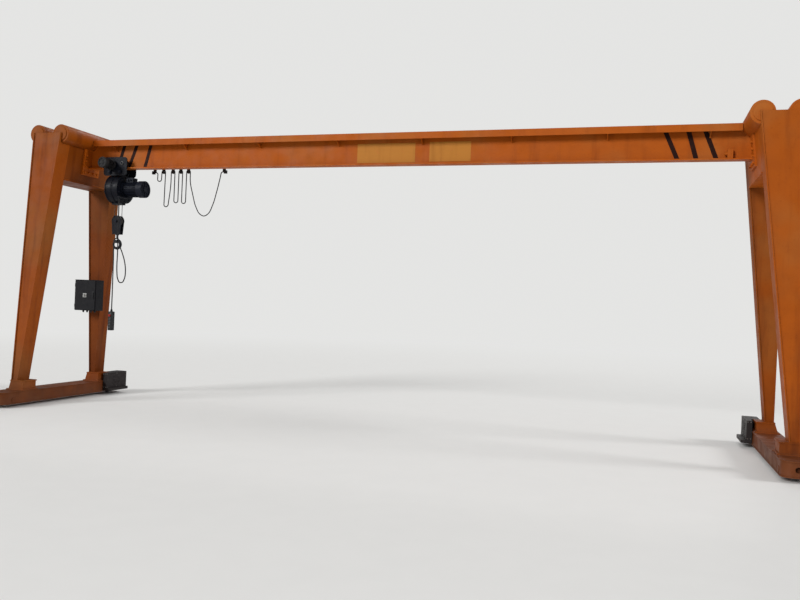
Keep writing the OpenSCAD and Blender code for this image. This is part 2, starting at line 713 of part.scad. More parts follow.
module block_rope() {
    color(steel) translate([hoist_x, 0, block_z]) rotate([90, 180, 0])
        rotate_extrude(angle = 180) translate([sheave_r, 0]) circle(rope_r, $fn = 24);
}

// Hook block and hook
module hook_block() {
    bolt_y = cheek_y + cheek_t;
    color(dark_grey) translate([hoist_x, 0, 0]) difference() {
        union() {
            for (s = [-1, 1]) corner(1, s) along_y(cheek_y, bolt_y) {
                translate([0, block_z]) circle(sheave_r + 20);
                polygon([[-sheave_r - 18, block_z], [sheave_r + 18, block_z], [62, cross_z],
                    [-62, cross_z]]);
            }
            translate([0, 0, block_z]) rod_y(-bolt_y - 10, bolt_y + 10, 20);
            block([-50, -cheek_y - 1, cross_z], [50, cheek_y + 1, cross_z + cross_h]);
            for (a = [-1, 1]) translate([0, 0, block_z]) rotate([0, 30 * a, 0])
                translate([0, 0, sheave_r + 14]) rod_y(-cheek_y - 1, cheek_y + 1, 4.5);
        }
        translate([0, 0, cross_z - 1]) cylinder(h = cross_h + 2, r = shank_r + axle_fit);
    }
}
module block_sheave() {
    half = sheave_w / 2;
    rim = sheave_r + 8;
    color(steel) translate([hoist_x, 0, block_z]) rotate([-90, 0, 0]) rotate_extrude() difference() {
        union() {
            translate([20 + seat, seat - cheek_y]) square([16, 2 * (cheek_y - seat)]);
            translate([30, -6]) square([sheave_r - 34, 12]);
            translate([sheave_r - 12, -half]) square([20, sheave_w]);
        }
        translate([sheave_r, 0]) circle(rope_r + seat);
        polygon([[sheave_r, -rope_r - seat], [rim + 1, -half + 3], [rim + 1, half - 3],
            [sheave_r, rope_r + seat]]);
    }
}
module hook() {
    curve = smooth_path([for (q = hook_curve) [q[0], 0, q[1]]], 4);
    radii = [for (q = smooth_path([for (q = hook_curve) [q[2], 0, 0]], 4)) q[0] * shank_r / 18];
    color(dark_grey) translate([hoist_x, 0, hook_z]) {
        translate([0, 0, -12]) {
            cylinder(h = 12, r = shank_r + 8);
            cylinder(h = cross_h + 12 + 2 * seat + 24, r = shank_r);
        }
        translate([0, 0, cross_h + 2 * seat]) cylinder(h = 20, r = shank_r + 8, $fn = 6);
        translate([0, 0, -10]) sweep(curve, radii, 16);
    }
}

// Festoon
module track_profile() {
    lip = track_w / 2 - 7;
    difference() {
        translate([-track_w / 2, 0]) square(track_w);
        translate([-track_w / 2 + 3, 3]) square(track_w - 6);
        translate([-7, -1]) square([14, 5]);
    }
}
module festoon_track() {
    count = 5;
    pitch = (track_l - 2 * bracket_in) / (count - 1);
    arm_z = cap_lip_z + 24;
    color(steel) {
        along_x(-track_l / 2, track_l / 2) translate([track_y, track_z]) track_profile();
        for (k = [0 : count - 1]) translate([(k - (count - 1) / 2) * pitch, 0, 0]) {
            block([-25, cap_w / 2, arm_z], [25, track_y + 4, arm_z + 8]);
            block([-25, track_y - 4, track_z + track_w - 1], [25, track_y + 4, arm_z + 4]);
            block([-25, cap_w / 2, arm_z - 20], [25, cap_w / 2 + 8, arm_z + 30]);
        }
    }
}
module cable_trolley(x) {
    inner = track_w - 6;
    translate([x, track_y, 0]) {
        block([-22, -inner / 2 + 3, track_z + 3 + seat], [22, inner / 2 - 3, track_z + 3 + inner - 8]);
        block([-12, -4, track_z - 10], [12, 4, track_z + 6]);
        block([-18, -15, track_z - 14], [18, 15, track_z - 8]);
        for (s = [-1, 1]) corner(1, s) block([-18, 11, saddle_z - 8], [18, 15, track_z - 9]);
    }
}
module festoon_trolleys() {
    color(dark_grey) {
        for (q = festoon_saddles) {
            cable_trolley(festoon_x + q);
            translate([festoon_x + q, track_y, saddle_z]) rod_y(-12, 12, saddle_r);
        }
        for (i = [0, 1]) {
            cable_trolley(festoon_x + festoon_ends[i]);
            translate([festoon_x + festoon_ends[i], track_y, saddle_z]) corner(2 * i - 1, 1)
                block([0, -14, -26], [44, 14, 20]);
        }
    }
}
module festoon_cable() {
    route = [for (q = festoon_xz) [festoon_x + q[0], track_y, saddle_z + q[1]]];
    color(black) sweep(route, [for (q = route) festoon_r], 8);
}

// Pendant
module pendant_cable() {
    color(black) translate(gland) sweep(pendant_route, [for (q = pendant_route) pendant_r], 8);
}
module pendant_station() {
    w = 74;
    d = 62;
    color(dark_grey) translate(pendant_top) {
        translate([0, 0, -pendant_h]) linear_extrude(pendant_h) round_rect(w, d, 14);
        translate([0, 0, -1]) cylinder(h = 41, r1 = 20, r2 = pendant_r + 3);
        for (k = [0 : 3]) translate([0, 0, -110 - 40 * k]) rod_y(-d / 2 - 6, 0, 13);
        translate([0, 0, -55]) {
            rod_y(-d / 2 - 12, 0, 9);
            rod_y(-d / 2 - 22, -d / 2 - 10, 18);
        }
    }
}

// Control panel on the left rear leg
panel_x = -portal_x + panel_w / 2 - 80;
panel_back_y = leg_out_y(panel_z + panel_h) - leg_t - 22;
module control_panel() {
    y0 = panel_back_y - panel_d;
    color(panel_grey) translate([panel_x, 0, panel_z]) {
        block([-panel_w / 2, y0 + 22, 0], [panel_w / 2, panel_back_y, panel_h]);
        block([-panel_w / 2 + 8, y0 + 4, 8], [panel_w / 2 - 8, y0 + 23, panel_h - 8]);
        translate([panel_w / 2 - 40, 0, panel_h / 2]) rod_y(y0, y0 + 5, 12);
        block([-panel_w / 2 - 6, y0 + 14, panel_h], [panel_w / 2 + 6, panel_back_y, panel_h + 6]);
    }
}
module panel_bracket() {
    color(orange) for (z = [panel_z + 50, panel_z + panel_h - 100])
        along_x(-portal_x + 5, -portal_x + leg_foot_w + 110)
            polygon([[panel_back_y, z], [panel_back_y, z + 50], [leg_out_y(z + 50) - leg_t, z + 50],
                [leg_out_y(z) - leg_t, z]]);
}

main_girder();
girder_cap();
girder_gussets();
girder_end_plates();
trolley_end_stops();
left_head_beam();
right_head_beam();
left_head_tubes();
right_head_tubes();
left_front_leg();
left_rear_leg();
right_front_leg();
right_rear_leg();
left_feet();
right_feet();
left_sill();
right_sill();
left_front_wheel();
left_rear_wheel();
right_front_wheel();
right_rear_wheel();
left_axles();
right_axles();
left_travel_drive();
right_travel_drive();
trolley_frame();
trolley_wheels();
trolley_motor();
drum_casing();
hoist_gearbox();
hoist_motor();
hoist_ropes();
hook_block();
block_sheave();
block_rope();
hook();
festoon_track();
festoon_trolleys();
festoon_cable();
pendant_cable();
pendant_station();
control_panel();
panel_bracket();
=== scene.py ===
"""Looks for a single-girder gantry crane: cables, ropes, paint, fasteners and a pale studio."""

import math
from itertools import product

import bmesh
import bpy
from bpy.props import FloatProperty, FloatVectorProperty, IntProperty, PointerProperty
from mathutils import Matrix, Vector


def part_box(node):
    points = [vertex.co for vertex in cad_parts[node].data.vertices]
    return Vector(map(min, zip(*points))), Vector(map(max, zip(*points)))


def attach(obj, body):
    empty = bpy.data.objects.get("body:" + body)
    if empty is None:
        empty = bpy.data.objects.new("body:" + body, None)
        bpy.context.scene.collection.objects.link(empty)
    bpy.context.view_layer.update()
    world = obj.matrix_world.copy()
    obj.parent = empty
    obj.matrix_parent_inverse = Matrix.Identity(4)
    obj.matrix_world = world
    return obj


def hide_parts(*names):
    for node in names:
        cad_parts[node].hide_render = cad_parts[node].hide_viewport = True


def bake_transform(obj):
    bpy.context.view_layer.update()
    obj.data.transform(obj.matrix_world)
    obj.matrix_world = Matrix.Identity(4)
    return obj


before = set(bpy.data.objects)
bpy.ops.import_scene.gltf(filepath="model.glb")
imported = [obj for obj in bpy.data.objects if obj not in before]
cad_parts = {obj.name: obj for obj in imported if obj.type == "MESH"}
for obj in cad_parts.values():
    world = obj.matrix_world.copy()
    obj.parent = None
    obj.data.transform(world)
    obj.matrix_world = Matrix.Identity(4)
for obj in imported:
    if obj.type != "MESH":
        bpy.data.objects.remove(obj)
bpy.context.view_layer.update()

bl_info = {
    "name": "Gantry crane looks",
    "version": (1, 0, 0),
    "blender": (4, 5, 0),
    "location": "3D View > Sidebar > Crane",
    "description": "Dresses the gantry crane with its cables, ropes, paint and fasteners",
    "category": "Object",
}


# Sizes read from the frame, in metres

def low(node):
    return Vector(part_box(node)[0])


def high(node):
    return Vector(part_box(node)[1])


def middle(node):
    return (low(node) + high(node)) / 2


def side_of(node):
    """-1 for a node on the left, 1 for one on the right."""
    return -1 if middle(node).x < 0 else 1


def x_reach(node):
    """The node's nearest and farthest distance from the middle, along the girder."""
    return sorted((abs(low(node).x), abs(high(node).x)))


HOIST_X = middle("trolley_frame").x
BLOCK_Z = middle("block_sheave").z
ROPE_X = middle("hoist_ropes").x
ROPE_TOP_Z = high("hoist_ropes").z
CASING_Z = middle("hoist_gearbox").z
PORTAL_X = high("right_front_leg").x
LEG_FOOT_Z = low("right_front_leg").z
LEG_TOP_Z = high("right_front_leg").z

# Sizes of the part's source that the boxes don't give, in metres

WEB_FACE_Y = -0.0045
LEG_FOOT_W = 0.106
LEG_HEAD_Y = 0.697
LEG_T = 0.222
LEG_LIP = 0.016
LEG_PLATE_T = 0.012
FOOT_L = 0.283
END_PLATE_T = 0.022
GUSSET_PITCH = 1.165
GUSSET_COUNT = 4


def along_leg(at_foot, at_head, z):
    """A size of the legs at the height z, from its values at their foot and head."""
    return at_foot + (at_head - at_foot) * (z - LEG_FOOT_Z) / (LEG_TOP_Z - LEG_FOOT_Z)


def leg_in_x(z):
    """Distance from the middle to the legs' edge on the passage side, at the height z."""
    return along_leg(PORTAL_X - LEG_FOOT_W, low("right_front_leg").x, z)


def leg_out_y(z):
    """Distance from the middle to the legs' outer face along the travel direction, at the height z."""
    return along_leg(high("right_rear_leg").y, LEG_HEAD_Y, z)


# Routes of the cables, in metres: the points of the part's source, with some moved by up to 15 mm or added
# to ease a tight bend, and the pendant's tail in its case.
# The festoon's points count from its first trolley and the axis of the saddles, the pendant's from its gland.

FESTOON_START = Vector((-3.640, 0.300, 3.440))
FESTOON_XZ = [
    (0, -0.002), (0.021, -0.002), (0.0301, -0.0035), (0.0383, -0.0077), (0.0448, -0.0144), (0.0488, -0.0227),
    (0.050, -0.0319), (0.048, -0.097), (0.0576, -0.1217), (0.082, -0.132), (0.1057, -0.1224), (0.116, -0.099),
    (0.119, 0), (0.128, 0.022), (0.150, 0.031), (0.172, 0.022), (0.181, 0), (0.178, -0.190), (0.175, -0.477),
    (0.211, -0.510), (0.2468, -0.478), (0.278, -0.190), (0.279, 0), (0.288, 0.022), (0.310, 0.031),
    (0.332, 0.022), (0.341, 0), (0.341, -0.4175), (0.351, -0.4415), (0.375, -0.4515), (0.399, -0.4415),
    (0.409, -0.4175), (0.409, 0), (0.418, 0.022), (0.440, 0.031), (0.462, 0.022), (0.471, 0),
    (0.471, -0.4275), (0.481, -0.4515), (0.505, -0.4615), (0.529, -0.4515), (0.539, -0.4275), (0.539, 0),
    (0.548, 0.022), (0.570, 0.031), (0.592, 0.022), (0.601, 0), (0.606, -0.140), (0.655, -0.330),
    (0.720, -0.520), (0.790, -0.620), (0.860, -0.645), (0.925, -0.610), (0.990, -0.490), (1.050, -0.290),
    (1.095, -0.100), (1.1097, -0.0258), (1.1134, -0.0163), (1.1201, -0.0087), (1.129, -0.0037),
    (1.139, -0.002), (1.160, -0.002),
]
PENDANT_GLAND = Vector((-3.850, -0.235, 2.975))
PENDANT_ROUTE = [
    (0, 0, 0), (0, 0, -0.075), (0.002, 0, -0.475), (0.008, 0, -0.635), (0.010, 0, -0.795), (0.008, 0, -0.935),
    (0.014, -0.001, -1.055), (0.034, -0.003, -1.155), (0.070, -0.005, -1.203), (0.115, -0.008, -1.201),
    (0.152, -0.011, -1.145), (0.166, -0.014, -1.045), (0.150, -0.017, -0.915), (0.105, -0.019, -0.785),
    (0.060, -0.021, -0.685), (0.0365, -0.023, -0.5986), (0.0031, -0.025, -0.574), (-0.0319, -0.027, -0.6073),
    (-0.038, -0.027, -0.706), (-0.034, -0.027, -0.875), (-0.030, -0.027, -1.375), (-0.030, -0.027, -1.535),
    (-0.030, -0.027, -1.585),
]
PENDANT_TAIL = [(-0.030, -0.027, -1.725), (-0.030, -0.027, -1.845)]


# Settings that a user would change

class CraneSizes(bpy.types.PropertyGroup):
    """Sizes of the dressed pieces"""

    festoon_length: FloatProperty(
        name="Festoon cable", description="Length of the festoon cable", default=5.19, unit="LENGTH")
    festoon_diameter: FloatProperty(
        name="Festoon diameter", description="Diameter of the festoon cable", default=0.014, unit="LENGTH")
    pendant_length: FloatProperty(
        name="Pendant cable", description="Length of the pendant cable", default=3.24, unit="LENGTH")
    pendant_diameter: FloatProperty(
        name="Pendant diameter", description="Diameter of the pendant cable", default=0.016, unit="LENGTH")
    rope_diameter: FloatProperty(
        name="Rope diameter", description="Diameter of the lifting rope", default=0.009, unit="LENGTH")
    rope_strands: IntProperty(
        name="Rope strands", description="Strands of the lifting rope", default=6, min=3, max=8)
    stripe_width: FloatProperty(
        name="Stripe width", description="Width of a stripe along the girder", default=0.056, unit="LENGTH")
    bolt_flats: FloatProperty(
        name="Bolt size", description="Distance across the flats of the head bolts", default=0.030,
        unit="LENGTH")
    weld_radius: FloatProperty(
        name="Weld size", description="Radius of the weld beads", default=0.005, unit="LENGTH")


class CraneColours(bpy.types.PropertyGroup):
    """Colours of the finishes"""

    orange: FloatVectorProperty(
        name="Orange paint", description="Colour of the frame's paint", subtype="COLOR", size=3,
        default=(0.390, 0.082, 0.003), min=0, max=1)
    # Lighter patches of the paint: partly faded paint, partly a painted sheen of the gloss
    faded_and_sheen: FloatVectorProperty(
        name="Faded paint", description="Colour of the paint where it has faded", subtype="COLOR", size=3,
        default=(0.380, 0.112, 0.018), min=0, max=1)
    enamel: FloatVectorProperty(
        name="Hoist enamel", description="Colour of the hoist", subtype="COLOR", size=3,
        default=(0.004, 0.005, 0.009), min=0, max=1)
    panel: FloatVectorProperty(
        name="Panel grey", description="Colour of the control panel", subtype="COLOR", size=3,
        default=(0.008, 0.008, 0.010), min=0, max=1)
    motor: FloatVectorProperty(
        name="Motor grey", description="Colour of the trolley motor", subtype="COLOR", size=3,
        default=(0.014, 0.013, 0.013), min=0, max=1)
    plate: FloatVectorProperty(
        name="Plate yellow", description="Colour of the bare plates on the web", subtype="COLOR", size=3,
        default=(0.440, 0.175, 0.028), min=0, max=1)
    stripe: FloatVectorProperty(
        name="Stripe black", description="Colour of the stripes on the web", subtype="COLOR", size=3,
        default=(0.020, 0.007, 0.005), min=0, max=1)
    floor: FloatVectorProperty(
        name="Floor", description="Colour of the floor and the room", subtype="COLOR", size=3,
        default=(0.78, 0.78, 0.77), min=0, max=1)


def sizes():
    return bpy.context.scene.crane_sizes


def colours():
    return bpy.context.scene.crane_colours


# Finishes

RUST = (0.085, 0.030, 0.014)
STEEL_RUST = (0.115, 0.048, 0.022)
HAZE = (0.62, 0.55, 0.50)
DIRT_RUNS = (0.34, 0.22, 0.16)
GRIME = (0.42, 0.30, 0.22)
# Tint that darkens the paint towards the floor
LOW_DARKENING_TINT = (0.52, 0.46, 0.44)
FLOOR_DUST = (0.150, 0.078, 0.048)
MACHINE_DUST = (0.034, 0.034, 0.037)
WORN_METAL = (0.16, 0.15, 0.14)
GREY_DUST = (0.085, 0.080, 0.075)
SIGN_DIRT = (0.45, 0.34, 0.26)


def add_node(tree, kind, inputs, **settings):
    """A new node with its settings, whose inputs get values or other nodes' outputs."""
    node = tree.nodes.new(kind)
    for name, value in settings.items():
        setattr(node, name, value)
    for key, value in inputs.items():
        if isinstance(value, bpy.types.NodeSocket):
            tree.links.new(value, node.inputs[key])
        else:
            node.inputs[key].default_value = value
    return node


def scaled(colour, share):
    return tuple(share * c for c in colour)


class Finish:
    """A material being made: its shader and the coordinates its patterns follow."""

    def __init__(self, name, roughness=0.5, metallic=0.0, gloss=0.20):
        self.material = bpy.data.materials.new(name)
        self.material.use_nodes = True
        self.tree = self.material.node_tree
        self.surface = self.tree.nodes["Principled BSDF"]
        self.surface.inputs["Roughness"].default_value = roughness
        self.surface.inputs["Metallic"].default_value = metallic
        self.surface.inputs["Specular IOR Level"].default_value = gloss
        self.place = self.add("ShaderNodeTexCoord", {}).outputs["Object"]

    def add(self, kind, inputs, **settings):
        return add_node(self.tree, kind, inputs, **settings)

    def noise(self, scale, detail, stretch=(1, 1, 1), roughness=0.55):
        place = self.add("ShaderNodeMapping", {"Scale": stretch, "Vector": self.place}).outputs["Vector"]
        inputs = {"Scale": scale, "Detail": detail, "Roughness": roughness, "Vector": place}
        return self.add("ShaderNodeTexNoise", inputs).outputs[0]

    def ramp(self, value, start, end, first=0.0, last=1.0, shape="SMOOTHSTEP"):
        """first where value is at start, fading to last at end."""
        inputs = {"Value": value, "From Min": start, "From Max": end, "To Min": first, "To Max": last}
        return self.add("ShaderNodeMapRange", inputs, interpolation_type=shape).outputs[0]

    def patches(self, scale, detail, start, end, least=0.0, most=1.0, **pattern):
        """Noise with soft edges, from least to most."""
        return self.ramp(self.noise(scale, detail, **pattern), start, end, least, most)

    def height(self, bottom, top):
        """1 at the height bottom, fading to 0 at the height top."""
        height = self.add("ShaderNodeSeparateXYZ", {0: self.place}).outputs["Z"]
        return self.ramp(height, bottom, top, 1.0, 0.0, "LINEAR")

    def times(self, first, second):
        return self.add("ShaderNodeMath", {0: first, 1: second}, operation="MULTIPLY").outputs[0]

    def mix(self, amount, first, second, mode="MIX"):
        """second over first, by amount; each is a colour or another node's output."""
        first, second = [colour if isinstance(colour, bpy.types.NodeSocket) else (*colour, 1.0)
                         for colour in (first, second)]
        return self.add("ShaderNodeMix", {0: amount, 6: first, 7: second}, data_type="RGBA",
                        blend_type=mode).outputs[2]

    def shade(self, amount, look, tint):
        return self.mix(amount, look, tint, "MULTIPLY")

    def feed(self, name, value):
        """Lets a pattern set one of the shader's inputs."""
        self.tree.links.new(value, self.surface.inputs[name])

    def bump(self, value, strength, distance=0.001):
        """Relief on top of the relief that is there already."""
        inputs = {"Height": value, "Strength": strength, "Distance": distance}
        normal = self.surface.inputs["Normal"]
        if normal.is_linked:
            inputs["Normal"] = normal.links[0].from_socket
        self.feed("Normal", self.add("ShaderNodeBump", inputs).outputs["Normal"])


def frame_paint(name, colour, faded_and_sheen, streaks=0.30, dust=0.5):
    """Old paint: patches of fading paint that also stand in for a painted sheen, dirt that has run down,
    chips to the rust, paint darker towards the floor, and dust near the floor.
    """
    finish = Finish(name, gloss=0.12)
    # Large patches of the lighter colour: fading, and a painted sheen of the gloss
    look = finish.mix(finish.patches(0.9, 3.0, 0.46, 0.70), colour, faded_and_sheen)
    look = finish.shade(finish.patches(6.0, 4.0, 0.35, 0.75, 0.0, 0.22), look, HAZE)
    runs = finish.patches(7.0, 5.0, 0.50, 0.74, 0.0, streaks, stretch=(1.0, 1.0, 0.09))
    look = finish.shade(runs, look, DIRT_RUNS)
    look = finish.shade(finish.patches(34.0, 6.0, 0.55, 0.80, 0.0, 0.45, roughness=0.7), look, GRIME)
    look = finish.mix(finish.patches(13.0, 8.0, 0.700, 0.725, roughness=0.75), look, RUST)
    # Paint darker towards the floor, in patches, fading out from 0.15 m up to 0.95 m
    low_darkening = finish.times(finish.height(0.15, 0.95), finish.patches(4.0, 5.0, 0.30, 0.70, 0.35, 0.85))
    look = finish.shade(low_darkening, look, LOW_DARKENING_TINT)
    low_dust = finish.times(finish.height(0.02, 0.36), finish.patches(9.0, 5.0, 0.30, 0.70, 0.25, dust))
    finish.feed("Base Color", finish.mix(low_dust, look, FLOOR_DUST))
    finish.feed("Roughness", finish.patches(5.0, 5.0, 0.3, 0.7, 0.42, 0.64))
    finish.bump(finish.noise(2.2, 2.0), 0.20, 0.004)
    finish.bump(finish.noise(260.0, 3.0), 0.10, 0.0006)
    return finish.material


def machine_enamel(name, colour, dust_colour=MACHINE_DUST, roughness=0.42):
    """Dark machine paint with dust in patches and worn spots."""
    finish = Finish(name, roughness, gloss=0.14)
    look = finish.mix(finish.patches(16.0, 6.0, 0.48, 0.82, 0.0, 0.26, roughness=0.65), colour, dust_colour)
    worn = finish.patches(42.0, 8.0, 0.720, 0.750, 0.0, 0.7, roughness=0.75)
    finish.feed("Base Color", finish.mix(worn, look, WORN_METAL))
    finish.feed("Roughness", finish.patches(24.0, 5.0, 0.3, 0.7, roughness - 0.08, roughness + 0.18))
    finish.bump(finish.noise(330.0, 3.0), 0.12, 0.0006)
    return finish.material


def worn_steel(name, colour, roughness, rust, stretch=(1, 1, 1)):
    """Bare steel with scratches and a bloom of rust."""
    finish = Finish(name, roughness, metallic=0.9)
    scratches = finish.noise(90.0, 4.0, stretch)
    look = finish.mix(finish.ramp(scratches, 0.3, 0.7, 0.0, 0.35), colour, scaled(colour, 0.55))
    bloom = finish.patches(21.0, 7.0, 0.50, 0.72, 0.0, rust, roughness=0.7)
    finish.feed("Base Color", finish.mix(bloom, look, STEEL_RUST))
    finish.feed("Roughness", finish.ramp(scratches, 0.25, 0.75, roughness - 0.1, roughness + 0.2))
    finish.bump(scratches, 0.10, 0.0005)
    return finish.material


def soft_black(name, colour=(0.012, 0.012, 0.013), roughness=0.62):
    """Rubber or plastic, with dust and a fine grain."""
    finish = Finish(name, roughness)
    dust = finish.patches(26.0, 6.0, 0.42, 0.78, 0.0, 0.30, roughness=0.7)
    finish.feed("Base Color", finish.mix(dust, colour, GREY_DUST))
    finish.feed("Roughness", finish.patches(60.0, 4.0, 0.3, 0.7, roughness - 0.12, roughness + 0.12))
    finish.bump(finish.noise(520.0, 2.0), 0.15, 0.0004)
    return finish.material


def sign_paint(name, colour, worn_to, roughness=0.5):
    """Flat paint laid over the frame's paint, rubbed through in places."""
    finish = Finish(name, roughness, gloss=0.06)
    look = finish.mix(finish.patches(11.0, 7.0, 0.56, 0.74, 0.0, 0.65, roughness=0.7), colour, worn_to)
    runs = finish.patches(8.0, 5.0, 0.50, 0.78, 0.0, 0.35, stretch=(1.0, 1.0, 0.12))
    finish.feed("Base Color", finish.shade(runs, look, SIGN_DIRT))
    finish.bump(finish.noise(240.0, 3.0), 0.10, 0.0005)
    return finish.material


def plain_gloss(name, colour, roughness=0.2):
    """Moulded caps: even colour with a little haze in the gloss."""
    finish = Finish(name, roughness)
    haze = finish.patches(120.0, 3.0, 0.4, 0.7, 0.0, 0.15)
    finish.feed("Base Color", finish.mix(haze, colour, scaled(colour, 0.5)))
    finish.feed("Roughness", finish.patches(70.0, 3.0, 0.3, 0.7, roughness, roughness + 0.15))
    return finish.material


def finish_makers():
    """Each finish with its maker and what the maker gets after the name."""
    tint = colours()
    orange, faded_and_sheen = tint.orange, tint.faded_and_sheen
    return {
        "orange_frame": (frame_paint, orange, faded_and_sheen),
        # Painted shade: the frame's orange darkened to 0.86 for the right front leg
        "orange_legs": (frame_paint, scaled(orange, 0.86), scaled(faded_and_sheen, 0.86), 0.42, 0.6),
        # Painted shade: the frame's orange darkened to 0.66 for the left front and right rear legs, the feet,
        # the left head tubes and the panel bracket
        "orange_dull": (frame_paint, scaled(orange, 0.66), scaled(faded_and_sheen, 0.64), 0.50, 0.6),
        # Deep painted shade: the frame's orange darkened to 0.42 for the left rear leg and the left head beam
        "orange_sooty": (frame_paint, scaled(orange, 0.42), scaled(faded_and_sheen, 0.40), 0.55, 0.6),
        # Painted shade: the frame's orange darkened to 0.44 for the sills and axles, with less dust near the
        # floor
        "orange_sills": (frame_paint, scaled(orange, 0.44), scaled(faded_and_sheen, 0.42), 0.5, 0.40),
        "hoist_enamel": (machine_enamel, tint.enamel),
        "drive_enamel": (machine_enamel, (0.020, 0.016, 0.016), (0.085, 0.070, 0.062), 0.48),
        "motor_grey": (machine_enamel, tint.motor, (0.040, 0.037, 0.036), 0.45),
        "panel_grey": (machine_enamel, tint.panel, (0.034, 0.033, 0.035), 0.48),
        "cowl_enamel": (machine_enamel, scaled(tint.enamel, 1.9), MACHINE_DUST, 0.46),
        "wheel_steel": (worn_steel, (0.36, 0.35, 0.34), 0.36, 0.45),
        "zinc_track": (worn_steel, (0.42, 0.43, 0.44), 0.46, 0.12, (0.1, 1, 1)),
        "dark_steel": (worn_steel, (0.085, 0.083, 0.080), 0.46, 0.25),
        "bolt_steel": (worn_steel, (0.30, 0.29, 0.28), 0.40, 0.55),
        "cable_rubber": (soft_black,),
        "black_moulding": (soft_black, (0.016, 0.016, 0.018), 0.45),
        "stripe_black": (sign_paint, tint.stripe, (0.10, 0.030, 0.012)),
        "plate_yellow": (sign_paint, tint.plate, (0.47, 0.160, 0.035), 0.42),
        "button_red": (plain_gloss, (0.26, 0.014, 0.010)),
        "button_grey": (plain_gloss, (0.050, 0.050, 0.052), 0.3),
        "switch_white": (plain_gloss, (0.38, 0.38, 0.37), 0.3),
    }


FINISHES = {}


def finish_for(name):
    """The named finish, made when it is first asked for."""
    if name not in FINISHES:
        maker, *values = finish_makers()[name]
        FINISHES[name] = maker(name, *values)
    return FINISHES[name]


NODE_FINISHES = {
    "orange_frame": ["main_girder", "girder_cap", "girder_gussets", "girder_end_plates", "right_head_beam",
                     "right_head_tubes", "trolley_end_stops"],
    # Painted shade: the right front leg gets the orange darkened to 0.86
    "orange_legs": ["right_front_leg"],
    # Painted shade: these parts get the orange darkened to 0.66
    "orange_dull": ["left_front_leg", "right_rear_leg", "left_head_tubes", "panel_bracket", "left_feet",
                    "right_feet"],
    # Deep painted shade: these parts get the orange darkened to 0.42
    "orange_sooty": ["left_rear_leg", "left_head_beam"],
    # Painted shade: the sills and axles get the orange darkened to 0.44
    "orange_sills": ["left_sill", "right_sill", "left_axles", "right_axles"],
    "wheel_steel": ["left_front_wheel", "left_rear_wheel", "right_front_wheel", "right_rear_wheel"],
    "drive_enamel": ["left_travel_drive", "right_travel_drive"],
    "hoist_enamel": ["trolley_frame", "drum_casing", "hoist_gearbox", "hook_block", "hook"],
    "cowl_enamel": ["hoist_motor"],
    "motor_grey": ["trolley_motor"],
    "panel_grey": ["control_panel"],
    "zinc_track": ["festoon_track"],
    "black_moulding": ["festoon_trolleys"],
    "dark_steel": ["block_rope", "block_sheave", "trolley_wheels"],
}


# Modelling steps that the pieces share

FRONT = (0, -1, 0)
SHARP_EDGE = math.radians(35)


def at(point, direction=(0, 0, 1)):
    """A place whose Z axis points along direction."""
    turn = Vector(direction).to_track_quat("Z", "Y").to_matrix().to_4x4()
    return Matrix.Translation(point) @ turn


def around(count, start=0.0):
    """The cosine and sine of angles that lie evenly round a circle, from the start angle."""
    angles = [start + 2 * math.pi * index / count for index in range(count)]
    return [(math.cos(angle), math.sin(angle)) for angle in angles]


def edges_of(verts):
    return list({edge for vert in verts for edge in vert.link_edges})


def add_cube(bm, place, rounding, segments):
    """A rounded cube on a place that also holds its size."""
    verts = bmesh.ops.create_cube(bm, size=1.0, matrix=place)["verts"]
    bmesh.ops.bevel(bm, geom=edges_of(verts), offset=rounding, offset_type="OFFSET", segments=segments,
                    profile=0.5, affect="EDGES", clamp_overlap=True, material=-1)


def add_block(bm, corner_a, corner_b, rounding, segments=2):
    """A block between two corners, with its edges rounded."""
    a, b = Vector(corner_a), Vector(corner_b)
    size = Matrix.Diagonal((*[abs(v) for v in b - a], 1.0))
    add_cube(bm, Matrix.Translation((a + b) / 2) @ size, rounding, segments)


def add_rod(bm, start, end, radius, sides):
    """A round rod; its vertices are returned."""
    start, end = Vector(start), Vector(end)
    return bmesh.ops.create_cone(bm, cap_ends=True, segments=sides, radius1=radius, radius2=radius,
                                 depth=(end - start).length,
                                 matrix=at((start + end) / 2, end - start))["verts"]


def add_turned(bm, place, outline, sides):
    """A turned piece: the outline's radius and height points are spun about the place's Z axis."""
    older = set(bm.verts)
    verts = [bm.verts.new((radius, 0.0, height)) for radius, height in outline]
    edges = [bm.edges.new(pair) for pair in zip(verts, verts[1:])]
    bmesh.ops.spin(bm, geom=verts + edges, cent=(0, 0, 0), axis=(0, 0, 1), dvec=(0, 0, 0),
                   angle=2 * math.pi, steps=sides, use_merge=True)
    bmesh.ops.remove_doubles(bm, verts=[vert for vert in bm.verts if vert not in older], dist=1e-5)
    bmesh.ops.transform(bm, matrix=place, verts=[vert for vert in bm.verts if vert not in older])


def add_hex_bolt(bm, place, flats, head):
    """A washer and a chamfered hexagon head, standing on the place."""
    width, washer = flats / math.sqrt(3), 0.12 * flats
    bottom = 0.0
    for sides, radius, top_radius, height in ((20, 1.15 * width, 1.15 * width, washer),
                                              (6, width, width, 0.8 * head),
                                              (6, width, 0.8 * width, 0.2 * head)):
        bmesh.ops.create_cone(bm, cap_ends=True, segments=sides, radius1=radius, radius2=top_radius,
                              depth=height, matrix=place @ Matrix.Translation((0, 0, bottom + height / 2)))
        bottom += height


def add_screw(bm, place, radius):
    """A low round screw head."""
    add_turned(bm, place, [(0, 0), (radius, 0), (radius, 0.3 * radius), (0.7 * radius, 0.62 * radius),
                           (0, 0.7 * radius)], 12)


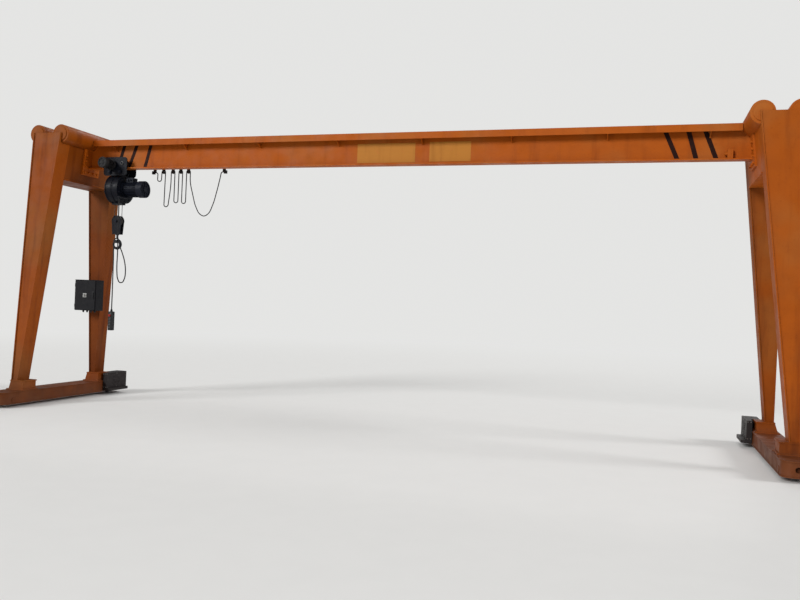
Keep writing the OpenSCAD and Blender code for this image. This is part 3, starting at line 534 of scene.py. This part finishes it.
def add_weld(bm, start, end, radius, pitch=0.012):
    """A weld bead with its ripples, from start to end."""
    start, end = Vector(start), Vector(end)
    length, direction = (end - start).length, (end - start).normalized()
    steps = max(2, min(160, round(length / pitch)))
    rod = add_rod(bm, start, end, radius, 8)
    long_edges = [edge for edge in edges_of(rod) if edge.calc_length() > 0.5 * length]
    cut = bmesh.ops.subdivide_edges(bm, edges=long_edges, cuts=steps - 1, use_grid_fill=True)
    for vert in {item for item in cut["geom_inner"] if isinstance(item, bmesh.types.BMVert)}:
        along = (vert.co - start).dot(direction)
        axis_point = start + direction * along
        ripple = 1.0 + 0.16 * math.sin(2 * math.pi * along / (2.6 * pitch))
        vert.co = axis_point + (vert.co - axis_point) * ripple


def smooth_faces(bm):
    """Turns every face outwards and shades it smooth."""
    bmesh.ops.recalc_face_normals(bm, faces=bm.faces)
    for face in bm.faces:
        face.smooth = True


def add_object(name, data, material=None):
    """A new object in the scene, with its material where it has one."""
    if material:
        data.materials.append(material)
    item = bpy.data.objects.new(name, data)
    bpy.context.collection.objects.link(item)
    return item


def mesh_object(bm, name, material):
    """Turns the finished bmesh into an object."""
    mesh = bpy.data.meshes.new(name)
    bm.to_mesh(mesh)
    bm.free()
    return add_object(name, mesh, material)


def make_piece(bm, name, finish, body):
    """Turns the finished bmesh into a piece that rides on its body."""
    smooth_faces(bm)
    for edge in bm.edges:
        edge.smooth = len(edge.link_faces) == 2 and edge.calc_face_angle() < SHARP_EDGE
    piece = mesh_object(bm, name, finish_for(finish))
    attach(piece, body)
    return piece


def bend_direction(before, after):
    """Which way a cable points where two steps of its route meet: along a much longer one, or in between."""
    if max(before.length, after.length) > 2 * min(before.length, after.length):
        return max((before, after), key=lambda step: step.length).normalized()
    return (before.normalized() * after.length + after.normalized() * before.length).normalized()


def make_cable(name, points, diameter, finish, body):
    """A round cable along the points, as one smooth curve."""
    line = bpy.data.curves.new(name, "CURVE")
    line.dimensions = "3D"
    line.bevel_depth = diameter / 2
    line.bevel_resolution = 4
    line.resolution_u = 6
    line.use_fill_caps = True
    spline = line.splines.new("BEZIER")
    spline.bezier_points.add(len(points) - 1)
    steps = [after - before for before, after in zip(points, points[1:])]
    directions = [steps[0].normalized(), *map(bend_direction, steps, steps[1:]), steps[-1].normalized()]
    reaches = [step.length / (3 * math.cos(start.angle(end) / 4) ** 2)
               for step, start, end in zip(steps, directions, directions[1:])]
    for index, (knot, point, direction) in enumerate(zip(spline.bezier_points, points, directions)):
        knot.handle_left_type = knot.handle_right_type = "FREE"
        knot.co = point
        knot.handle_left = point - direction * reaches[max(index - 1, 0)]
        knot.handle_right = point + direction * reaches[min(index, len(reaches) - 1)]
    cable = add_object(name, line, finish_for(finish))
    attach(cable, body)
    return cable


# Camera and cables

class CRANE_OT_camera(bpy.types.Operator):
    """Set up the camera where the photograph was taken"""
    bl_idname = "crane.camera"
    bl_label = "Camera"

    def execute(self, context):
        lens = bpy.data.cameras.new("crane_camera")
        lens.sensor_fit = "HORIZONTAL"
        lens.sensor_width = 36.0
        lens.lens = 35.23
        lens.clip_end = 200.0
        camera = add_object("crane_camera", lens)
        heading = Matrix.Rotation(math.radians(16.825), 4, "Z")
        pitch = Matrix.Rotation(math.radians(90.402), 4, "X")
        roll = Matrix.Rotation(math.radians(2.273), 4, "Z")
        camera.matrix_world = Matrix.Translation((3.322, -9.816, 1.600)) @ heading @ pitch @ roll
        context.scene.camera = camera
        return {"FINISHED"}


class CRANE_OT_festoon_cable(bpy.types.Operator):
    """Hang the festoon cable in loops from its trolleys"""
    bl_idname = "crane.festoon_cable"
    bl_label = "Festoon cable"

    def execute(self, context):
        route = [FESTOON_START + Vector((x, 0, z)) for x, z in FESTOON_XZ]
        cable = make_cable("festoon_loops", route, sizes().festoon_diameter, "cable_rubber", "portal")
        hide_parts("festoon_cable")
        return {"FINISHED"}


class CRANE_OT_pendant(bpy.types.Operator):
    """Hang the pendant cable with its tied loop and its push-button station"""
    bl_idname = "crane.pendant"
    bl_label = "Pendant"

    NECK_L = 0.040
    FACE_INSET = 0.022
    FRAME_T = 0.003

    def execute(self, context):
        route = [PENDANT_GLAND + Vector(point) for point in PENDANT_ROUTE + PENDANT_TAIL]
        cable = make_cable("pendant_lead", route, sizes().pendant_diameter, "cable_rubber", "hoist")
        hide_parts("pendant_cable")
        body, boot, buttons, stop, tie = self.shell(), self.boot(), self.buttons(), self.stop(), self.tie()
        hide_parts("pendant_station")
        return {"FINISHED"}

    def front(self):
        """Middle of the case's front, at the top of the case."""
        top = high("pendant_station").z - self.NECK_L
        return Vector((middle("pendant_station").x, low("pendant_station").y + self.FACE_INSET, top))

    def on_frame(self, drop):
        """A place on the raised frame, drop below the top of the case."""
        return at(self.front() - Vector((0, self.FRAME_T, drop)), FRONT)

    def shell(self):
        """The moulded case, in two halves, with a raised frame round the buttons."""
        bottom, top = low("pendant_station"), high("pendant_station")
        x, y, case_top = self.front()
        bm = bmesh.new()
        add_block(bm, (x - 0.036, y, bottom.z), (x + 0.036, y + 0.034, case_top), 0.010, 4)
        add_block(bm, (x - 0.037, y + 0.0345, bottom.z), (x + 0.037, top.y, case_top), 0.010, 4)
        add_block(bm, (x - 0.026, y - self.FRAME_T, bottom.z + 0.018),
                  (x + 0.026, y + 0.004, case_top - 0.014), 0.0015)
        for across, height in product((-0.027, 0.027), (bottom.z + 0.010, case_top - 0.008)):
            add_screw(bm, at((x + across, y + 0.0005, height), FRONT), 0.0035)
        return make_piece(bm, "pendant_case", "black_moulding", "hoist")

    def boot(self):
        """The ribbed sleeve where the cable goes in."""
        top = high("pendant_station")
        x, y, radius = middle("pendant_station").x, PENDANT_GLAND.y - 0.027, sizes().pendant_diameter / 2
        outline = [(radius, 0.0), (0.020, 0.0)]
        for rib in range(5):
            height, width = 0.004 + 0.007 * rib, 0.019 - 0.0018 * rib
            outline += [(width, height), (width, height + 0.004), (width - 0.003, height + 0.005),
                        (width - 0.003, height + 0.006)]
        outline += [(radius + 0.0005, 0.0405), (radius, 0.040)]
        bm = bmesh.new()
        add_turned(bm, at((x, y, top.z - 0.041)), outline, 24)
        return make_piece(bm, "pendant_boot", "cable_rubber", "hoist")

    def buttons(self):
        """Four push buttons under rubber caps."""
        bm = bmesh.new()
        for row in range(4):
            place = self.on_frame(0.110 + 0.040 * row)
            add_turned(bm, place, [(0, 0), (0.0165, 0), (0.0165, 0.003), (0.0135, 0.0045), (0.012, 0.0045),
                                   (0.0115, 0.008), (0.008, 0.0098), (0, 0.0104)], 28)
        return make_piece(bm, "pendant_buttons", "button_grey", "hoist")

    def stop(self):
        """The mushroom stop button on its collar."""
        bm = bmesh.new()
        add_turned(bm, self.on_frame(0.055),
                   [(0, 0), (0.014, 0), (0.014, 0.004), (0.009, 0.005), (0.009, 0.0095), (0.0175, 0.0105),
                    (0.018, 0.0135), (0.015, 0.0172), (0.008, 0.0188), (0, 0.019)], 32)
        return make_piece(bm, "pendant_stop", "button_red", "hoist")

    def tie(self):
        """The wrap that holds the spare loop against the cable."""
        bm = bmesh.new()
        for turn in range(4):
            centre = PENDANT_GLAND + Vector((-0.013, -0.0135, -0.640 + 0.011 * turn))
            oval = Matrix.Translation(centre) @ Matrix.Diagonal((0.040, 0.026, 1.0, 1.0))
            ring = bmesh.ops.create_circle(bm, cap_ends=False, segments=32, radius=1.0, matrix=oval)["verts"]
            made = bmesh.ops.extrude_edge_only(bm, edges=edges_of(ring))["geom"]
            upper = [item for item in made if isinstance(item, bmesh.types.BMVert)]
            bmesh.ops.translate(bm, vec=(0, 0, 0.010), verts=upper)
        bmesh.ops.recalc_face_normals(bm, faces=bm.faces)
        bmesh.ops.solidify(bm, geom=bm.faces[:], thickness=0.003)
        return make_piece(bm, "loop_tie", "cable_rubber", "hoist")


class CRANE_OT_rope_falls(bpy.types.Operator):
    """Lay the two rope falls between the hoist and the hook block"""
    bl_idname = "crane.rope_falls"
    bl_label = "Rope falls"

    def execute(self, context):
        reach = high("hoist_ropes").x - ROPE_X - sizes().rope_diameter / 2
        for side, name in ((-1, "left_rope_fall"), (1, "right_rope_fall")):
            fall = self.fall(name, ROPE_X + side * reach)
            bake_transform(fall)
            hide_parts("hoist_ropes")
        return {"FINISHED"}

    def fall(self, name, x):
        """Strands twisted round each other."""
        strands, radius = sizes().rope_strands, sizes().rope_diameter / 2
        turns, steps = 4, 48
        bm = bmesh.new()
        for cos, sin in around(strands):
            spot = Matrix.Translation((x + 0.58 * radius * cos, 0.58 * radius * sin, BLOCK_Z))
            ring = bmesh.ops.create_circle(bm, cap_ends=True, segments=6, radius=0.42 * radius,
                                           matrix=spot)["verts"]
            faces = list({face for vert in ring for face in vert.link_faces})
            bmesh.ops.spin(bm, geom=faces + edges_of(ring) + ring, cent=(x, 0, BLOCK_Z), axis=(0, 0, 1),
                           dvec=(0, 0, (ROPE_TOP_Z - BLOCK_Z) / steps), angle=2 * math.pi * turns,
                           steps=steps, use_merge=False)
        smooth_faces(bm)
        return mesh_object(bm, name, finish_for("dark_steel"))


# Paint and marks

class CRANE_OT_finishes(bpy.types.Operator):
    """Give each solid of the frame its finish"""
    bl_idname = "crane.finishes"
    bl_label = "Finishes"

    def execute(self, context):
        for finish, nodes in NODE_FINISHES.items():
            for node in nodes:
                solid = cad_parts[node]
                if not solid.material_slots:
                    solid.data.materials.append(None)
                for slot in solid.material_slots:
                    slot.material = finish_for(finish)
        return {"FINISHED"}


class CRANE_OT_web_marks(bpy.types.Operator):
    """Paint the stripes and the two bare plates on the girder's web"""
    bl_idname = "crane.web_marks"
    bl_label = "Web marks"

    STRIPE_TOP_Z, STRIPE_BOTTOM_Z = 3.785, 3.470
    STRIPES = [(-3.966, -4.060), (-3.754, -3.875), (-3.517, -3.603), (3.581, 3.715), (3.839, 3.927),
               (4.026, 4.146)]
    PLATES = [(-0.320, 0.482, 3.476, 3.733), (0.675, 1.223, 3.481, 3.738)]

    def execute(self, context):
        self.stripes()
        self.plates()
        return {"FINISHED"}

    def stripes(self):
        """Slanting stripes, thin as paint."""
        half, overrun = sizes().stripe_width / 2, 0.023
        bm = bmesh.new()
        for top_x, bottom_x in self.STRIPES:
            lean = (top_x - bottom_x) / (self.STRIPE_TOP_Z - self.STRIPE_BOTTOM_Z)
            upper = Vector((top_x + lean * overrun, WEB_FACE_Y, self.STRIPE_TOP_Z + overrun))
            lower = Vector((bottom_x, WEB_FACE_Y, self.STRIPE_BOTTOM_Z))
            corners = [bm.verts.new(end + Vector((side * half, -0.0004, 0)))
                       for end, side in ((upper, -1), (upper, 1), (lower, 1), (lower, -1))]
            bm.faces.new(corners)
        bmesh.ops.recalc_face_normals(bm, faces=bm.faces)
        bmesh.ops.solidify(bm, geom=bm.faces[:], thickness=0.0006)
        make_piece(bm, "web_stripes", "stripe_black", "portal")

    def plates(self):
        """Two bare plates, each with a screw in its corners."""
        face_y = WEB_FACE_Y - 0.0022
        bm = bmesh.new()
        screws = bmesh.new()
        for left, right, bottom, top in self.PLATES:
            add_block(bm, (left, face_y, bottom), (right, WEB_FACE_Y - 0.0002, top), 0.0006, 1)
            for x, z in product((left + 0.022, right - 0.022), (bottom + 0.020, top - 0.020)):
                add_screw(screws, at((x, face_y, z), FRONT), 0.005)
        make_piece(bm, "web_plates", "plate_yellow", "portal")
        make_piece(screws, "plate_screws", "plate_yellow", "portal")


# Fasteners and welds of the frame

class CRANE_OT_frame_fasteners(bpy.types.Operator):
    """Add the bolts and the weld beads of the frame"""
    bl_idname = "crane.frame_fasteners"
    bl_label = "Bolts and welds"

    TUBE_SEAM = 0.2596

    def execute(self, context):
        self.end_bolts()
        self.head_welds()
        self.leg_welds()
        self.foot_welds()
        self.gusset_welds()
        return {"FINISHED"}

    def end_bolts(self):
        """Bolts that hold the girder's end plates to the head beams, square to the sloping plates."""
        bm = bmesh.new()
        rows = [low("girder_end_plates").z + 0.045 + 0.080 * row for row in range(4)]
        spots = [*product((-0.135, 0.135), rows), (-0.05, rows[0]), (0.05, rows[0])]
        lean = leg_in_x(LEG_FOOT_Z + 1) - leg_in_x(LEG_FOOT_Z)
        for end, (y, z) in product((-1, 1), spots):
            place = at((end * (leg_in_x(z) - END_PLATE_T), y, z), (-end, 0, lean))
            add_hex_bolt(bm, place, sizes().bolt_flats, 0.018)
        make_piece(bm, "end_plate_bolts", "orange_frame", "portal")

    def head_welds(self):
        """Beads along the tubes and under the head beams."""
        bm = bmesh.new()
        bead = sizes().weld_radius
        for beam, tubes in (("left_head_beam", "left_head_tubes"), ("right_head_beam", "right_head_tubes")):
            end, z = side_of(beam), low(beam).z + 0.014
            seam_x, seam_end = end * leg_in_x(z), high(beam).y - 0.01
            for side in (-1, 1):
                add_weld(bm, (seam_x, side * 0.09, z), (seam_x, side * seam_end, z), bead)
            near, far = x_reach(tubes)
            for x in (near + self.TUBE_SEAM, far - self.TUBE_SEAM):
                add_weld(bm, (end * x, -0.46, LEG_TOP_Z), (end * x, 0.46, LEG_TOP_Z), bead)
        make_piece(bm, "head_welds", "orange_frame", "portal")

    def leg_welds(self):
        """Beads in the corners between the webs and the flanges of the legs."""
        bead = sizes().weld_radius
        foot, head = LEG_FOOT_Z + 0.002, LEG_TOP_Z - 0.170
        for name, end, side in (("left_front_leg", -1, -1), ("left_rear_leg", -1, 1),
                                ("right_front_leg", 1, -1), ("right_rear_leg", 1, 1)):
            bm = bmesh.new()
            for lip in (-LEG_LIP, LEG_LIP - LEG_T):
                for foot_x, head_x in zip(self.web_edges(foot), self.web_edges(head)):
                    add_weld(bm, (end * foot_x, side * (leg_out_y(foot) + lip), foot),
                             (end * head_x, side * (leg_out_y(head) + lip), head), bead, 0.021)
            # Each leg's welds take that leg's orange, which for most legs carries painted shade
            finish = next(paint for paint, nodes in NODE_FINISHES.items() if name in nodes)
            make_piece(bm, name + "_welds", finish, "portal")

    def web_edges(self, z):
        """Distances from the middle to a web's two edges, between the flanges, at the height z."""
        return PORTAL_X - LEG_PLATE_T, leg_in_x(z) + LEG_PLATE_T

    def foot_welds(self):
        """Beads round the feet, on the sills and under the legs."""
        bm = bmesh.new()
        bead = sizes().weld_radius
        leg_inner = (leg_in_x(LEG_FOOT_Z), leg_out_y(LEG_FOOT_Z) - LEG_T)
        leg_outer = (PORTAL_X, leg_out_y(LEG_FOOT_Z))
        for node in ("left_feet", "right_feet"):
            near, far = x_reach(node)
            foot_out_y = high(node).y
            for side in (-1, 1):
                quarter = (side_of(node), side)
                self.weld_round(bm, quarter, (near, foot_out_y - FOOT_L), (far, foot_out_y),
                                low(node).z + 0.002, bead)
                self.weld_round(bm, quarter, leg_inner, leg_outer, high(node).z + 0.001, bead * 0.8)
        # The foot welds take the feet's orange with painted shade
        make_piece(bm, "foot_welds", "orange_dull", "portal")

    def weld_round(self, bm, quarter, inner, outer, z, bead):
        """Beads round the rectangle between two corners, in one quarter of the portal."""
        end, side = quarter
        corners = [inner, (outer[0], inner[1]), outer, (inner[0], outer[1])]
        for (xa, ya), (xb, yb) in zip(corners, corners[1:] + corners[:1]):
            add_weld(bm, (end * xa, side * ya, z), (end * xb, side * yb, z), bead)

    def gusset_welds(self):
        """Short beads where the gussets meet the web and the cap."""
        bm = bmesh.new()
        bead = sizes().weld_radius * 0.8
        bottom, top = low("girder_gussets").z + 0.002, high("girder_gussets").z - 0.012
        for index, end, side, face in product(range(GUSSET_COUNT), (-1, 1), (-1, 1), (-0.006, 0.006)):
            x, y = end * (index + 0.5) * GUSSET_PITCH + face, side * 0.021
            add_weld(bm, (x, y, bottom), (x, y, top), bead)
        make_piece(bm, "gusset_welds", "orange_frame", "portal")


# Hoist and trolley

class CRANE_OT_hoist_details(bpy.types.Operator):
    """Add the fasteners and fittings of the hoist and its trolley"""
    bl_idname = "crane.hoist_details"
    bl_label = "Hoist details"

    def execute(self, context):
        self.casing_bolts()
        self.motor_fittings()
        self.trolley_nuts()
        self.trolley_fan()
        self.block_fasteners()
        return {"FINISHED"}

    def ring_of_bolts(self, bm, centre, direction, radius, count, flats, start):
        """Bolts round an axis along the girder, with the first one at the start angle."""
        for cos, sin in around(count, start):
            spot = Vector(centre) + Vector((0, radius * cos, radius * sin))
            add_hex_bolt(bm, at(spot, direction), flats, 0.55 * flats)

    def casing_bolts(self):
        """Bolts round both ends of the drum casing and round the gearbox."""
        bm = bmesh.new()
        gear_out = high("hoist_gearbox").x - 0.016
        for x, direction in ((low("drum_casing").x, (-1, 0, 0)), (low("hoist_motor").x, (1, 0, 0))):
            self.ring_of_bolts(bm, (x, 0, CASING_Z), direction, 0.172, 10, 0.018, 0.3)
        self.ring_of_bolts(bm, (gear_out, 0, CASING_Z), (-1, 0, 0), 0.114, 8, 0.010, 0.2)
        make_piece(bm, "casing_bolts", "cowl_enamel", "hoist")

    def motor_fittings(self):
        """Terminal box screws, cable gland fittings and cowl screws of the hoist motor."""
        bm = bmesh.new()
        lid_z, box_x = high("hoist_motor").z, low("hoist_motor").x + 0.105
        for x, y in product((-0.045, 0.045), repeat=2):
            add_screw(bm, at((box_x + x, y, lid_z)), 0.0055)
        for x, flats, head in ((-0.02, 0.030, 0.020), (0.02, 0.024, 0.018)):
            add_hex_bolt(bm, at((box_x + x, -0.055, lid_z - 0.035), FRONT), flats, head)
        cowl = Vector((high("hoist_motor").x - 0.075, 0, CASING_Z))
        for cos, sin in around(4, math.radians(45)):
            turn = Vector((0, cos, sin))
            add_screw(bm, at(cowl + turn * 0.1215, turn), 0.006)
        make_piece(bm, "motor_fittings", "cowl_enamel", "hoist")

    def trolley_nuts(self):
        """Nuts on the trolley's axles and tie bars."""
        bm = bmesh.new()
        axle_z, axle_y = middle("trolley_wheels").z, high("trolley_wheels").y - 0.002
        wheel_x, bar_x = 0.115, 0.085
        for x, sign in ((-wheel_x, 1), (wheel_x, -1), (wheel_x, 1)):
            add_hex_bolt(bm, at((HOIST_X + x, sign * axle_y, axle_z), (0, sign, 0)), 0.024, 0.014)
        bar_z, bar_y = low("main_girder").z - 0.055, high("trolley_frame").y - 0.004
        for x, sign in product((-bar_x, bar_x), (-1, 1)):
            add_hex_bolt(bm, at((HOIST_X + x, sign * bar_y, bar_z), (0, sign, 0)), 0.041, 0.018)
        make_piece(bm, "trolley_nuts", "cowl_enamel", "hoist")

    def trolley_fan(self):
        """The dark fan in the open end of the trolley motor, and the screws of its cowl."""
        centre, end = middle("trolley_motor"), low("trolley_motor")
        radius = (high("trolley_motor").x - end.x) / 2
        place = at((centre.x, end.y + 0.012, centre.z), FRONT)
        bm = bmesh.new()
        add_turned(bm, place, [(0.020, 0), (radius - 0.0225, 0), (radius - 0.0225, 0.0012), (0.020, 0.0012),
                               (0.020, 0)], 40)
        blades = 7
        blade = Matrix.Rotation(0.5, 4, "X") @ Matrix.Diagonal((0.034, 0.014, 0.0015, 1.0))
        for index in range(blades):
            turn = Matrix.Rotation(2 * math.pi * index / blades, 4, "Z")
            add_cube(bm, place @ turn @ Matrix.Translation((0.036, 0, 0.005)) @ blade, 0.0005, 1)
        make_piece(bm, "trolley_fan", "black_moulding", "hoist")
        screws = bmesh.new()
        for cos, sin in around(4, math.radians(45)):
            turn = Vector((cos, 0, sin))
            spot = Vector((centre.x, end.y + 0.045, centre.z)) + turn * (radius - 0.0005)
            add_screw(screws, at(spot, turn), 0.005)
        make_piece(screws, "trolley_motor_screws", "cowl_enamel", "hoist")

    def block_fasteners(self):
        """Nuts on the hook block's axle and spacers."""
        bm = bmesh.new()
        side = high("hook_block").y
        for sign in (-1, 1):
            add_hex_bolt(bm, at((HOIST_X, sign * (side - 0.002), BLOCK_Z), (0, sign, 0)), 0.032, 0.012)
            for angle in (math.radians(-30), math.radians(30)):
                x, z = 0.076 * math.sin(angle), BLOCK_Z + 0.076 * math.cos(angle)
                add_hex_bolt(bm, at((HOIST_X + x, sign * (side - 0.010), z), (0, sign, 0)), 0.017, 0.008)
        make_piece(bm, "block_nuts", "cowl_enamel", "hook_block")


# Electrical pieces and drives

class CRANE_OT_panel_details(bpy.types.Operator):
    """Add the handle, switch and glands of the control panel"""
    bl_idname = "crane.panel_details"
    bl_label = "Panel details"

    def execute(self, context):
        bottom, top = low("control_panel"), high("control_panel")
        face = bottom.y + 0.004
        centre = (bottom.x + top.x) / 2
        self.door_fittings(bottom, top, face)
        self.knob(centre, face, bottom.z)
        self.glands(bottom, top)
        return {"FINISHED"}

    def door_fittings(self, bottom, top, face):
        """Swing handle at the door's right and hinges at its left."""
        bm = bmesh.new()
        x, z = top.x - 0.046, (bottom.z + top.z) / 2
        add_block(bm, (x - 0.013, face - 0.006, z - 0.060), (x + 0.013, face, z + 0.060), 0.004, 3)
        add_block(bm, (x - 0.009, face - 0.016, z - 0.046), (x + 0.009, face - 0.007, z + 0.034), 0.004, 3)
        add_rod(bm, (x, face - 0.018, z + 0.034), (x, face - 0.004, z + 0.034), 0.009, 24)
        for height in (bottom.z + 0.075, top.z - 0.085):
            add_rod(bm, (bottom.x + 0.014, face + 0.004, height - 0.024),
                    (bottom.x + 0.014, face + 0.004, height + 0.024), 0.0065, 20)
        make_piece(bm, "panel_handle", "black_moulding", "portal")

    def knob(self, centre, face, bottom):
        """The rotary main switch on its square plate."""
        bm = bmesh.new()
        z = bottom + 0.235
        add_block(bm, (centre - 0.032, face - 0.004, z - 0.032), (centre + 0.032, face, z + 0.032), 0.002)
        add_turned(bm, at((centre, face - 0.004, z), FRONT),
                   [(0, 0), (0.024, 0), (0.024, 0.006), (0.021, 0.010), (0, 0.010)], 32)
        add_block(bm, (centre - 0.007, face - 0.034, z - 0.022), (centre + 0.007, face - 0.010, z + 0.022),
                  0.003, 3)
        make_piece(bm, "panel_switch", "switch_white", "portal")

    def glands(self, bottom, top):
        """Cable glands in the panel's floor."""
        bm = bmesh.new()
        y = (bottom.y + top.y) / 2 + 0.02
        for index in range(4):
            x = bottom.x + 0.090 + 0.070 * index
            add_hex_bolt(bm, at((x, y, bottom.z), (0, 0, -1)), 0.028, 0.012)
            add_turned(bm, at((x, y, bottom.z - 0.014), (0, 0, -1)),
                       [(0, 0), (0.0125, 0), (0.0125, 0.008), (0.0095, 0.016), (0.007, 0.018),
                        (0, 0.018)], 20)
        make_piece(bm, "panel_glands", "black_moulding", "portal")


class CRANE_OT_drive_details(bpy.types.Operator):
    """Add the louvres and screws of the travel drives"""
    bl_idname = "crane.drive_details"
    bl_label = "Drive details"

    TRAY_LIP = 0.058

    def execute(self, context):
        for node in ("left_travel_drive", "right_travel_drive"):
            face = x_reach(node)[0] + self.TRAY_LIP
            self.louvres(node, side_of(node), face)
            self.screws(node, side_of(node), face)
        return {"FINISHED"}

    def louvres(self, node, end, face):
        """Six pressed louvres on the side that faces the passage."""
        x, y = end * (face + 0.001), middle(node).y
        bm = bmesh.new()
        for row in range(6):
            z = 0.165 + 0.024 * row
            add_rod(bm, (x, y - 0.085, z), (x, y + 0.085, z), 0.006, 16)
        make_piece(bm, node.replace("_drive", "_louvres"), "drive_enamel", "portal")

    def screws(self, node, end, face):
        """Screws of the cover, on the side that faces the passage and on the front."""
        front, back = low(node).y, high(node).y
        rows = (0.120, high(node).z - 0.018)
        bm = bmesh.new()
        for y, z in product((front + 0.018, middle(node).y, back - 0.018), rows):
            add_screw(bm, at((end * face, y, z), (-end, 0, 0)), 0.006)
        for x, z in product((face + 0.014, face + 0.050), rows):
            add_screw(bm, at((end * x, front, z), FRONT), 0.006)
        make_piece(bm, node.replace("_drive", "_screws"), "bolt_steel", "portal")


# Studio

class CRANE_OT_stage(bpy.types.Operator):
    """Set up the pale floor, the room and the light"""
    bl_idname = "crane.stage"
    bl_label = "Stage"

    def execute(self, context):
        self.floor()
        self.room(context)
        self.sun("key_sun", (-0.45, -0.80, 0.40), 2.2)
        self.sun("side_sun", (0.85, 0.05, 0.45), 1.5)
        self.sun("back_sun", (0.0, 0.75, 0.55), 0.6)
        context.scene.view_settings.view_transform = "Standard"
        return {"FINISHED"}

    def floor(self):
        """A floor whose far edge fades into the room."""
        bm = bmesh.new()
        bmesh.ops.create_circle(bm, cap_ends=True, segments=96, radius=60.0)
        pale = colours().floor
        finish = Finish("pale_floor", 0.75)
        grain = finish.patches(3.0, 6.0, 0.3, 0.7, 0.0, 0.10)
        finish.feed("Base Color", finish.mix(grain, pale, scaled(pale, 0.88)))
        finish.bump(finish.noise(35.0, 5.0), 0.05)
        length = finish.add("ShaderNodeVectorMath", {0: finish.place}, operation="LENGTH")
        far = finish.ramp(length.outputs["Value"], 9.0, 26.0)
        glow = finish.add("ShaderNodeEmission", {"Color": (*pale, 1.0)})
        both = finish.add("ShaderNodeMixShader", {0: far, 1: finish.surface.outputs[0], 2: glow.outputs[0]})
        output = next(node for node in finish.tree.nodes if node.type == "OUTPUT_MATERIAL")
        finish.tree.links.new(both.outputs[0], output.inputs["Surface"])
        floor = mesh_object(bm, "studio_floor", finish.material)

    def room(self, context):
        """A pale room, bright to the camera and softer as a light."""
        world = bpy.data.worlds.new("pale_room")
        world.use_nodes = True
        context.scene.world = world
        tree = world.node_tree
        seen = tree.nodes["Background"]
        seen.inputs["Color"].default_value = (*colours().floor, 1.0)
        seen.inputs["Strength"].default_value = 1.0
        lighting = add_node(tree, "ShaderNodeBackground", {"Color": (1.0, 0.99, 0.97, 1.0), "Strength": 0.34})
        ray = add_node(tree, "ShaderNodeLightPath", {})
        both = add_node(tree, "ShaderNodeMixShader",
                        {0: ray.outputs["Is Camera Ray"], 1: lighting.outputs[0], 2: seen.outputs[0]})
        tree.links.new(both.outputs[0], tree.nodes["World Output"].inputs["Surface"])

    def sun(self, name, direction, strength):
        """A soft, even light that comes from direction."""
        light = bpy.data.lights.new(name, "SUN")
        light.energy = strength
        light.angle = math.radians(20)
        add_object(name, light).matrix_world = at((0, 0, 0), direction)


# Panel and registration

OPERATORS = (
    CRANE_OT_camera, CRANE_OT_festoon_cable, CRANE_OT_pendant, CRANE_OT_rope_falls, CRANE_OT_finishes,
    CRANE_OT_web_marks, CRANE_OT_frame_fasteners, CRANE_OT_hoist_details, CRANE_OT_panel_details,
    CRANE_OT_drive_details, CRANE_OT_stage,
)


class CRANE_PT_looks(bpy.types.Panel):
    """Lists the steps that dress the crane"""
    bl_idname = "CRANE_PT_looks"
    bl_label = "Gantry crane"
    bl_space_type = "VIEW_3D"
    bl_region_type = "UI"
    bl_category = "Crane"

    def draw(self, context):
        for group in (context.scene.crane_sizes, context.scene.crane_colours):
            for name in group.__annotations__:
                self.layout.prop(group, name)
        for operator in OPERATORS:
            self.layout.operator(operator.bl_idname)


CLASSES = (CraneSizes, CraneColours, *OPERATORS, CRANE_PT_looks)


def register():
    for item in CLASSES:
        bpy.utils.register_class(item)
    bpy.types.Scene.crane_sizes = PointerProperty(type=CraneSizes)
    bpy.types.Scene.crane_colours = PointerProperty(type=CraneColours)


def unregister():
    del bpy.types.Scene.crane_colours
    del bpy.types.Scene.crane_sizes
    for item in reversed(CLASSES):
        bpy.utils.unregister_class(item)


def main():
    register()
    for operator in OPERATORS:
        group, name = operator.bl_idname.split(".")
        getattr(getattr(bpy.ops, group), name)()


if __name__ == "__main__":
    main()
